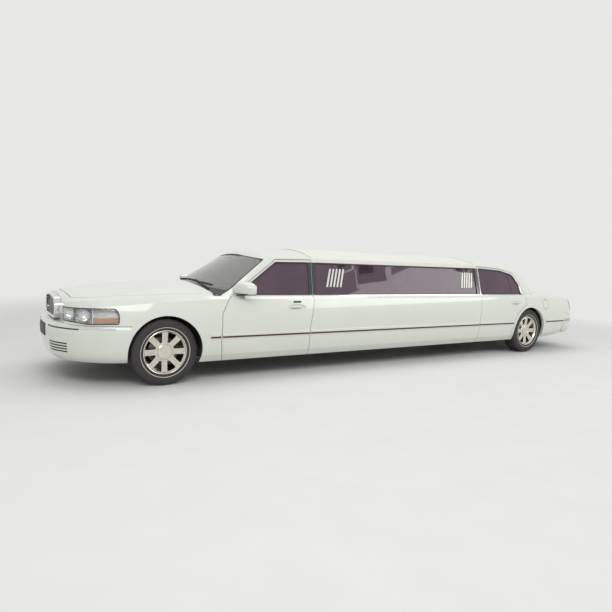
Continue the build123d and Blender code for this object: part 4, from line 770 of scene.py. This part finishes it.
# Each bumper line: start and end angle in degrees, height over the ground, width and height of its section
bumper = {"strip": (28, 90, 0.606, 0.016, 0.006), "darkLine": (28, 66, 0.592, 0.012, 0.003),
          "vents": [(32, 56, z, 0.014, 0.0014) for z in (0.355, 0.383, 0.411, 0.439)],
          "holder": {"half": 0.160, "low": 0.465, "high": 0.590, "thick": 0.009}}


def bumperLine(start, end, z, width, height):
    # a strip laid on the front bumper between two angles about its middle
    angles = np.radians(np.linspace(start, end, 50))
    return swept(*wrapped(["front_bumper"], (frontX + 0.5, 0), angles, z), strip(width, height))


putMesh("front_bumper_strip", *both(bumperLine(*bumper["strip"])), chrome, "body")
parts = [bumperLine(*line) for line in [bumper["darkLine"], *bumper["vents"]]]
putMesh("front_bumper_vents", *both(joinMeshes(parts)), gasket, "body")
holder = bumper["holder"]
y, z = np.linspace(-holder["half"], holder["half"], 12), np.linspace(holder["low"], holder["high"], 8)
hits, normals = castOn(["front_bumper"], frontX + 1.6, y[:, None], z, (-1, 0, 0))
putMesh("front_plate_holder", *sheetOver(hits, smoothed(normals), holder["thick"], -0.002), plastic, "body")

# Dark cowl between the hood and the windscreen, with both wipers
cowlTrim = {"lift": 0.003, "over": 0.030, "lowest": 0.915, "bladeOver": 0.055, "bladeLift": 0.008,
            "wipers": ((0.560, -0.080), (-0.090, -0.660)),
            "pivot": [(0, -0.012), (0.014, -0.012), (0.014, 0.014), (0.009, 0.020), (0, 0.020)]}
cowlY = np.linspace(-0.800, 0.800, 81)
# the hood's rear edge: an arc in the middle and straight beyond it; the foot of the glass: a hyperbola
hoodBack = np.where(np.abs(cowlY) < 0.351, 2.981 - np.sqrt(2.5**2 - cowlY**2), 0.456 + 0.142 * np.abs(cowlY))
hoodEdge = frontX - hoodBack - 0.002
glassFootZ = 1.0047 - 0.0684 * (np.sqrt(cowlY**2 + 0.137**2) - 0.137)


def onScreen(y, over):
    # where level rays from ahead meet the windscreen, at this height over its foot
    z = np.interp(y, cowlY, glassFootZ) + over
    return castOn(["windscreen", "roof_shell"], frontX + 1.0, y, z, (-1, 0, 0))


foot, _ = onScreen(cowlY, cowlTrim["over"])
t = np.linspace(0, 1, 14)
x = hoodEdge[:, None] * (1 - t) + foot[:, :1] * t
below = ["cowl", "roof_shell", "windscreen", "front_fenders"]
hits, normals = castOn(below, x, cowlY[:, None], 1.35, (0, 0, -1))
hits[..., 2] = np.maximum(hits[..., 2], cowlTrim["lowest"])
putMesh("cowl_cover", *sheetOver(hits, smoothed(normals, 6), cowlTrim["lift"], -0.001), plastic, "body")
wipers = []
for pivotY, tipY in cowlTrim["wipers"]:
    hits, normals = onScreen(np.linspace(pivotY - 0.03, tipY, 24), cowlTrim["bladeOver"])
    wipers.append(swept(hits + normals * cowlTrim["bladeLift"], normals, strip(0.011, 0.007, sink=0.006)))
    pivot, up = onScreen(pivotY, 0.012)
    arm = np.linspace(pivot + up * 0.016, hits[13] + normals[13] * 0.022, 12)
    wipers.append(swept(arm, normals[12], strip(0.014, 0.008, sink=0.004)))
    wipers.append(turned(cowlTrim["pivot"], 20, False, pivot, up))
putMesh("wipers", *joinMeshes(wipers), gasket, "body")

# Black bands round the windscreen and the rear window, cast along the car
band = {"inset": 0.012, "width": 0.022, "height": 0.003, "sink": 0.001}
glasses = {
    "windscreen": (mirrored([(0.815, 0.960, 0.040), (0.637, 1.352, 0.045)], [(0, 1.402, 2.5)],
                            [(0, 1.016, 4.0)]), frontX + 1.0, -1),
    "rear_window": (mirrored([(0.598, 1.024, 0.060), (0.503, 1.338, 0.070)]), rearX - 2.0, 1),
}
for node, (corners, x, aim) in glasses.items():
    loop = shrunk(roundedLoop(corners, 12), band["inset"])
    section = strip(band["width"], band["height"], sink=band["sink"])
    shape = swept(*castOn([node], x, *loop.T, (aim, 0, 0)), section, True)
    putMesh(f"{node}_band", *shape, gasket, "body")
print("front and glass trimmed")

# Door mirrors: a swept rounded shell, flat behind, with its glass and a dark foot line
mirror = {"inner": 0.850, "outer": 1.074, "front": frontX - 0.762, "sweep": 0.074, "depth": 0.090, "low": 0.958,
          "high": 1.104, "back": frontX - 0.908, "backSweep": 0.060,
          "sail": [(frontX - 0.790, 0.944, 0.006), (frontX - 0.982, 1.068, 0.012),
                   (frontX - 0.990, 0.944, 0.006)]}


def mirrorTaper(t, power):
    # full for most of the length, closing in a round at the outer end
    return np.sqrt(np.clip(1 - t**power, 0, 1))


def mirrorHeights(t):
    # the top climbs from the door, runs level and rounds off; the bottom stays flat
    tall = mirror["high"] - mirror["low"]
    climb = 0.66 + 0.34 * np.sin(np.clip(t / 0.42, 0, 1) * np.pi / 2)
    top = mirror["low"] + tall * (0.30 + 0.70 * mirrorTaper(t, 3.6)) * climb
    bottom = mirror["low"] + tall * 0.30 * (1 - mirrorTaper(t, 12))
    return (top + bottom) / 2, (top - bottom) / 2


t = np.linspace(0, 1, 40)[:, None]
turn = np.linspace(0, 2 * np.pi, 48, endpoint=False)
y = mirror["inner"] + (mirror["outer"] - mirror["inner"]) * t
middleX = mirror["front"] - mirror["depth"] - mirror["sweep"] * t
middleZ, halfZ = mirrorHeights(t)
over, up = np.cos(turn), np.sin(turn)
x = middleX + np.sign(over) * np.abs(over) ** 0.75 * mirror["depth"] * mirrorTaper(t, 5) * (1 - 0.25 * t**2)
backX = mirror["back"] - mirror["backSweep"] * t
z = middleZ + np.sign(up) * np.abs(up) ** np.where(up < 0, 0.45, 0.66) * halfZ
shell = np.stack(np.broadcast_arrays(np.maximum(x, backX), y, z), -1)
foot = blockShape((frontX - 0.862, 0.862, 0.972), (0.060, 0.030, 0.024), 5, (8, 8, 8))
glassT, glassV = np.linspace(0.14, 0.88, 14)[:, None], np.linspace(-0.78, 0.78, 8)
glassMiddle, glassHalf = mirrorHeights(glassT)
glassGrid = np.stack(np.broadcast_arrays(mirror["back"] - 0.0008 - mirror["backSweep"] * glassT,
                                         mirror["inner"] + (mirror["outer"] - mirror["inner"]) * glassT,
                                         glassMiddle + glassV * glassHalf), -1)
lineX = (middleX + np.linspace(-0.050, 0.060, 8))[2:32]
baseGrid = np.stack(np.broadcast_arrays(lineX, y[2:32], mirror["low"]), -1)
shell = joinMeshes([(shell, tubeFaces(40, 48)), foot])
glass = sheetOver(glassGrid, unit(np.array([-0.206, 0.055, 0.0])), 0.0015, -0.001)
base = sheetOver(baseGrid, np.array([0, 0, -1.0]), 0.004, -0.006)
for side, s in sides:
    door = f"front_door_{side}"
    putMesh(f"mirror_shell_{side}", *placed(shell, s), paint, door, f"mirror_{side}", 40)
    putMesh(f"mirror_glass_{side}", *placed(glass, s), mirrorFace, door)
    putMesh(f"mirror_base_{side}", *placed(base, s), gasket, door)
    patchOnCabin(f"mirror_sail_{side}", mirror["sail"], s, 0.007, paint, door)

# Tail: twin chrome side lines whose dark plum colour is a painted reflection, boot strip, blank plate, lamp
# bands, exhaust tips
tail = {"lines": (0.498, 0.521), "lineWidth": 0.008, "lineHeight": 0.003, "stripZ": 0.812, "stripHalf": 0.560,
        "lineRuns": {"quarter_panels": (rearX - 0.430, rearX - 0.985),
                     "rear_bumper": (rearX - 1.010, rearX - 1.280)},
        "plateZ": 0.728, "plateHalf": (0.152, 0.040), "frameHalf": (0.185, 0.052), "bumperZ": 0.606,
        "bands": (0.712, 0.756, 0.800), "pipeEnd": (rearX - 1.290, 0.300, 0.2377),
        "tip": [(0.0275, 0.0), (0.036, 0.0), (0.036, 0.082), (0.034, 0.086), (0.031, 0.084), (0.0295, 0.076),
                (0.0275, 0.050)]}
parts = [swept(*onSide([node], np.linspace(*run, 24), z, 1), strip(tail["lineWidth"], tail["lineHeight"]))
         for z in tail["lines"] for node, run in tail["lineRuns"].items()]
putMesh("tail_side_lines", *both(joinMeshes(parts)), chromePaintedReflection, "body")
y = np.linspace(-tail["stripHalf"], tail["stripHalf"], 41)
line = castOn(["boot_lid"], rearX - 2.2, y, tail["stripZ"], (1, 0, 0))
putMesh("boot_strip", *swept(*line, strip(0.024, 0.007)), chrome, "boot")
for name, (halfY, halfZ), thick, material in (("boot_plate_frame", tail["frameHalf"], 0.004, plastic),
                                              ("boot_plate", tail["plateHalf"], 0.006, paint)):
    y, z = np.linspace(-halfY, halfY, 14), tail["plateZ"] + np.linspace(-halfZ, halfZ, 8)
    hits, normals = castOn(["boot_lid"], rearX - 2.2, y[:, None], z, (1, 0, 0))
    putMesh(name, *sheetOver(hits, smoothed(normals), thick, -0.002), material, "boot")
line = wrapped(["rear_bumper"], (rearX - 0.9, 0), np.radians(np.linspace(100, 260, 90)), tail["bumperZ"])
putMesh("rear_bumper_strip", *swept(*line, strip(0.016, 0.006)), chrome, "body")
angles, lampMiddle = np.radians(np.linspace(127, 162, 30)), (rearX - 1.0, 0.60)
parts = [swept(*wrapped(["tail_lamps"], lampMiddle, angles, z), strip(0.004, 0.002)) for z in tail["bands"]]
putMesh("tail_lamp_bands", *both(joinMeshes(parts)), chrome, "body")
putMesh("exhaust_tips", *both(turned(tail["tip"], 40, True, tail["pipeEnd"], (-1, 0, 0))), chrome, "body")

# Vinyl edge: a bead and a joint line across the roof at both seams, a bead along the foot of the rear pillars
vinylEdge = {"z": 0.966, "from": rearX + 0.080, "to": rearX - 0.190, "reach": 0.68}
turn = np.linspace(-vinylEdge["reach"], vinylEdge["reach"], 70)
over, up = np.sin(turn), np.cos(turn)
for name, seamX in roofSeams.items():
    aim = -np.stack([np.zeros(70), over, up], -1)
    path, normal = castOn(["roof_shell"], seamX, over * 1.2, 0.6 + up * 1.2, aim)
    putMesh(f"vinyl_roof_bead_{name}", *swept(path, normal, strip(0.010, 0.0035)), vinyl, "body")
    joint = swept(path + (0.0065, 0, 0), normal, strip(0.003, 0.0012))
    putMesh(f"vinyl_roof_joint_{name}", *joint, gasket, "body")
# Thin chrome upright in each rear door window, dark plum as a painted reflection: (x, z) at its foot and its top
upright = {"foot": (rearX + 0.352, 0.945), "top": (rearX + 0.372, 1.268), "width": 0.010, "height": 0.006}
for side, s in sides:
    x = np.linspace(vinylEdge["from"], vinylEdge["to"], 16)
    line = onSide(["roof_shell", "quarter_panels"], x, vinylEdge["z"], s)
    putMesh(f"vinyl_bead_{side}", *swept(*line, strip(0.009, 0.004)), vinyl, "body")
    line = onCabin(np.linspace(upright["foot"], upright["top"], 10), s, -0.004)
    shape = swept(*line, strip(upright["width"], upright["height"]))
    putMesh(f"window_upright_{side}", *shape, chromePaintedReflection, f"rear_door_{side}")
print("tail trimmed")

# Interior: door trims with armrests, roof lining, instrument hood and vents
trim = {"thick": 0.010, "low": 0.47, "high": 0.90, "armZ": 0.72, "armHalf": (0.20, 0.030, 0.026),
        "spans": {"front": (frontX - 0.76, frontX - 1.70), "rear": (rearX + 1.14, rearX + 0.52)}}
for side, s in sides:
    for name, span in trim["spans"].items():
        x, z = np.linspace(*span, 30), np.linspace(trim["low"], trim["high"], 18)
        hits, normals = castOn([f"door_{name}_{side}"], x[:, None], s * 0.4, z, (0, s, 0))
        shape, body = sheetOver(hits, smoothed(normals), trim["thick"], -0.001), f"{name}_door_{side}"
        putMesh(f"{name}_door_trim_{side}", *shape, leather, body)
        armX, armY, _ = hits[15, 10]
        arm = blockShape((armX, armY - s * trim["armHalf"][1], trim["armZ"]), trim["armHalf"], 5, (14, 6, 6))
        putMesh(f"{name}_door_armrest_{side}", *arm, plastic, body)
x, y = np.linspace(frontX - 1.34, rearX + 0.14, 90), np.linspace(-0.56, 0.56, 24)
hits, normals = castOn(["roof_shell"], x[:, None], y, 1.0, (0, 0, 1))
putMesh("roof_lining", *sheetOver(hits, smoothed(normals), 0.006, -0.001), headLining, "body")
dash = {"hood": (frontX - 0.900, 0.380, 0.934), "hoodHalf": (0.095, 0.165, 0.026), "ventZ": 0.860,
        "vents": (-0.62, -0.14, 0.14, 0.64), "slatHalf": (0.010, 0.056, 0.005), "slats": (-0.016, 0.0, 0.016)}
parts = [blockShape(dash["hood"], dash["hoodHalf"], 4, (10, 14, 8))]
for y in dash["vents"]:
    at, _ = castOn(["dashboard"], frontX - 1.6, y, dash["ventZ"], (1, 0, 0))
    parts += [blockShape(at + (0, 0, z), dash["slatHalf"], 6, (4, 8, 4)) for z in dash["slats"]]
putMesh("dash_parts", *joinMeshes(parts), gasket, "body")
print("interior trimmed")

# Padded seats: cloth swells under pressure between seams that are held, with a welt along each edge
seat = {"pressure": 4.0, "frames": 20, "cap": 0.022, "cell": 0.022, "power": 9, "channel": 0.012,
        "weltRadius": 0.0035}
benchX = (frontX + rearX - 1.28) / 2    # middle of the bench along the right side
# each part: middle, half size, turn, lean, node it stands for, cells between channels
seatParts = {
    "front_cushion_left": ((frontX - 1.506, 0.475, 0.610), (0.226, 0.246, 0.070), 0, 0.0, "front_seats", 4),
    "front_back_left": ((frontX - 1.803, 0.475, 0.885), (0.046, 0.246, 0.215), 0, 0.12, "front_seats", 4),
    "front_cushion_right": ((frontX - 1.506, -0.475, 0.610), (0.226, 0.246, 0.070), 0, 0.0, "front_seats", 4),
    "front_back_right": ((frontX - 1.803, -0.475, 0.885), (0.046, 0.246, 0.215), 0, 0.12, "front_seats", 4),
    "bench_cushion": ((frontX - 2.392, 0, 0.610), (0.258, 0.745, 0.070), math.pi, 0.0, "lounge_seats", 7),
    "bench_back": ((frontX - 2.032, 0, 0.885), (0.046, 0.745, 0.215), math.pi, 0.12, "lounge_seats", 7),
    "side_cushion": ((benchX, -0.474, 0.598), (0.160, 0.940, 0.062), math.pi / 2, 0.0, "lounge_seats", 7),
    "side_back": ((benchX, -0.722, 0.858), (0.038, 0.940, 0.190), math.pi / 2, 0.146, "lounge_seats", 7),
    "rear_cushion": ((rearX + 0.760, 0, 0.668), (0.258, 0.745, 0.044), 0, 0.0, "rear_seat", 7),
    "rear_back": ((rearX + 0.404, 0, 0.918), (0.044, 0.745, 0.212), 0, 0.12, "rear_seat", 7),
}


def turnedBy(points, lean, yaw):
    # leaned back about its own side axis, then turned about the upright axis
    x, y, z = points.T
    c, s = math.cos(lean), math.sin(lean)
    x, z = x * c - z * s, x * s + z * c
    c, s = math.cos(yaw), math.sin(yaw)
    return np.stack([x * c - y * s, x * s + y * c, z], -1)


def coordsOf(mesh):
    # the mesh's points, one row each
    flat = np.empty(len(mesh.vertices) * 3)
    mesh.vertices.foreach_get("co", flat)
    return flat.reshape(-1, 3)


def swell(piece, held):
    # cloth pressed from inside and held at its seams; a point moves no further than the cap
    before = coordsOf(piece.data)
    group = piece.vertex_groups.new(name="seams")
    group.add(held.tolist(), 1.0, "REPLACE")
    cloth = piece.modifiers.new("swell", "CLOTH")
    cloth.settings.use_pressure = True
    cloth.settings.uniform_pressure_force = seat["pressure"]
    cloth.settings.effector_weights.gravity = 0
    cloth.settings.vertex_group_mass = "seams"
    cloth.point_cache.frame_start, cloth.point_cache.frame_end = 1, seat["frames"]
    for frameNumber in range(1, seat["frames"] + 1):
        bpy.context.scene.frame_set(frameNumber)
    after = coordsOf(piece.evaluated_get(bpy.context.evaluated_depsgraph_get()).data)
    piece.modifiers.remove(cloth)
    bpy.context.scene.frame_set(1)
    move = after - before
    far = np.linalg.norm(move, axis=1, keepdims=True)
    moved = before + move * np.minimum(1, seat["cap"] / np.maximum(far, 1e-9))
    piece.data.vertices.foreach_set("co", moved.reshape(-1))
    piece.data.update()


for name, (centre, half, yaw, lean, node, pitch) in seatParts.items():
    # the sewn side is the top of a cushion or the front of a back
    sewn = 0 if "back" in name else 2
    across = 2 - sewn
    cells = [max(4, round(2 * h / seat["cell"])) for h in half]
    cells[1] = max(1, round(cells[1] / pitch)) * pitch
    raw, faces = cubeGrid(cells)
    points = roundedCube(raw, half, seat["power"])
    column = np.rint((raw[:, 1] + 1) / 2 * cells[1]).astype(int)
    top = raw[:, sewn] > 0.999
    edge = top & ((np.abs(raw[:, 1]) > 0.999) | (np.abs(raw[:, across]) > 0.999))
    channel = top & (column % pitch == 0)
    points[channel & ~edge, sewn] -= seat["channel"]
    points = turnedBy(points, lean, yaw) + np.asarray(centre)
    piece = putMesh(name, points, faces, leather, "body", node, 60)
    held = np.flatnonzero(edge | channel | (raw[:, sewn] < -0.999))
    swell(piece, held)
    soft = piece.modifiers.new("soft", "SUBSURF")
    soft.levels = soft.render_levels = 1
    order = np.flatnonzero(edge)
    order = order[np.argsort(np.arctan2(raw[order, 1], raw[order, across]))]
    path = coordsOf(piece.data)[order]
    shape = swept(path, unit(path - centre), tubeProfile(seat["weltRadius"], 8), True)
    putMesh(f"{name}_welt", *shape, leather, "body")
bases = [blockShape((frontX - 1.560, y, 0.466), (0.280, 0.235, 0.064), 12, (10, 10, 6)) for y in (0.475, -0.475)]
putMesh("front_seat_bases", *joinMeshes(bases), plastic, "body", "front_seats")
bases = [blockShape((frontX - 2.320, 0, 0.466), (0.330, 0.745, 0.064), 14, (10, 16, 6)),
         blockShape((benchX, -0.545, 0.466), (0.945, 0.225, 0.064), 14, (20, 10, 6))]
putMesh("lounge_seat_bases", *joinMeshes(bases), plastic, "body", "lounge_seats")
print("seats made")

# Floor, light and camera; seen rays find one pale backdrop, and the floor fades into it away from the car
studio = {"backdrop": (0.80, 0.80, 0.785), "light": (0.93, 0.95, 0.96), "strength": 0.60, "fade": (5.0, 10.5)}
floorMat = makeMaterial("studioFloor", (0.74, 0.74, 0.715), (0.72, 0.72, 0.695), 3, (0.7, 0.8), 0.0004, 60)


def seenRays(tree):
    # 1 for rays straight from the camera, mirrored or seen through glass
    path = addNode(tree, "LightPath").outputs
    seen = addNode(tree, "Math", {0: path["Is Camera Ray"], 1: path["Is Glossy Ray"]}, operation="MAXIMUM")
    seen = addNode(tree, "Math", {0: seen.outputs[0], 1: path["Is Transmission Ray"]}, operation="MAXIMUM")
    return seen.outputs[0]


backdrop = (*studio["backdrop"], 1)
tree = floorMat.node_tree
place = addNode(tree, "NewGeometry").outputs["Position"]
away = addNode(tree, "VectorMath", {0: place}, operation="LENGTH")
fadeFrom, fadeTo = studio["fade"]
fade = addNode(tree, "MapRange", {"Value": away.outputs["Value"], "From Min": fadeFrom, "From Max": fadeTo},
               interpolation_type="SMOOTHSTEP")
amount = addNode(tree, "Math", {0: fade.outputs["Result"], 1: seenRays(tree)}, operation="MULTIPLY")
glow, plain = addNode(tree, "Emission", {"Color": backdrop}), tree.nodes["Principled BSDF"]
mix = addNode(tree, "MixShader", {0: amount.outputs[0], 1: plain.outputs[0], 2: glow.outputs[0]})
tree.links.new(mix.outputs[0], tree.nodes["Material Output"].inputs["Surface"])
bpy.ops.mesh.primitive_plane_add(size=80)
floor = bpy.context.object
floor.name = "floor"
floor.data.materials.append(floorMat)

world = bpy.data.worlds.new("studio")
bpy.context.scene.world = world
world.use_nodes = True
tree = world.node_tree
lit = addNode(tree, "Background", {"Color": (*studio["light"], 1), "Strength": studio["strength"]})
shown = addNode(tree, "Background", {"Color": backdrop})
mix = addNode(tree, "MixShader", {0: seenRays(tree), 1: lit.outputs[0], 2: shown.outputs[0]})
tree.links.new(mix.outputs[0], tree.nodes["World Output"].inputs["Surface"])

lamps = {
    "key": {"place": (5.5, 7.0, 6.5), "aim": (1.0, 0, 0.6), "size": (7.0, 3.0), "power": 280},
    "fill": {"place": (-6.0, 6.5, 5.0), "aim": (-1.5, 0, 0.6), "size": (6.0, 3.0), "power": 170},
    "top": {"place": (0, -1.0, 7.5), "aim": (0, 0, 0), "size": (10.0, 4.0), "power": 220},
}
for name, lamp in lamps.items():
    light = bpy.data.lights.new(name, "AREA")
    light.shape = "RECTANGLE"
    light.size, light.size_y = lamp["size"]
    light.energy = lamp["power"]
    obj = bpy.data.objects.new(name, light)
    obj.location = lamp["place"]
    obj.rotation_euler = (Vector(lamp["aim"]) - Vector(lamp["place"])).to_track_quat("-Z", "Y").to_euler()
    bpy.context.scene.collection.objects.link(obj)

# The camera: metres from the front wheels, angles in degrees, focal length in pixels of the image
view = {"ahead": 1.827, "left": 6.357, "height": 1.452, "yaw": -123.0, "pitch": -5.6, "roll": 2.72,
        "focal": 542.6, "imageSize": 612}
yaw, pitch, roll = (math.radians(view[k]) for k in ("yaw", "pitch", "roll"))
ahead = Vector((math.cos(pitch) * math.cos(yaw), math.cos(pitch) * math.sin(yaw), math.sin(pitch)))
right = ahead.cross(Vector((0, 0, 1))).normalized()
up = right.cross(ahead)
tiltedRight = right * math.cos(roll) + up * math.sin(roll)
tiltedUp = up * math.cos(roll) - right * math.sin(roll)
camera = bpy.data.objects.new("camera", bpy.data.cameras.new("camera"))
camera.data.sensor_width = 36
camera.data.lens = view["focal"] * camera.data.sensor_width / view["imageSize"]
turn = Matrix((tiltedRight, tiltedUp, -ahead)).transposed().to_4x4()
camera.matrix_world = Matrix.Translation((frontX + view["ahead"], view["left"], view["height"])) @ turn
bpy.context.scene.collection.objects.link(camera)
bpy.context.scene.camera = camera
bpy.context.scene.view_settings.view_transform = "Standard"

print("scene ready")
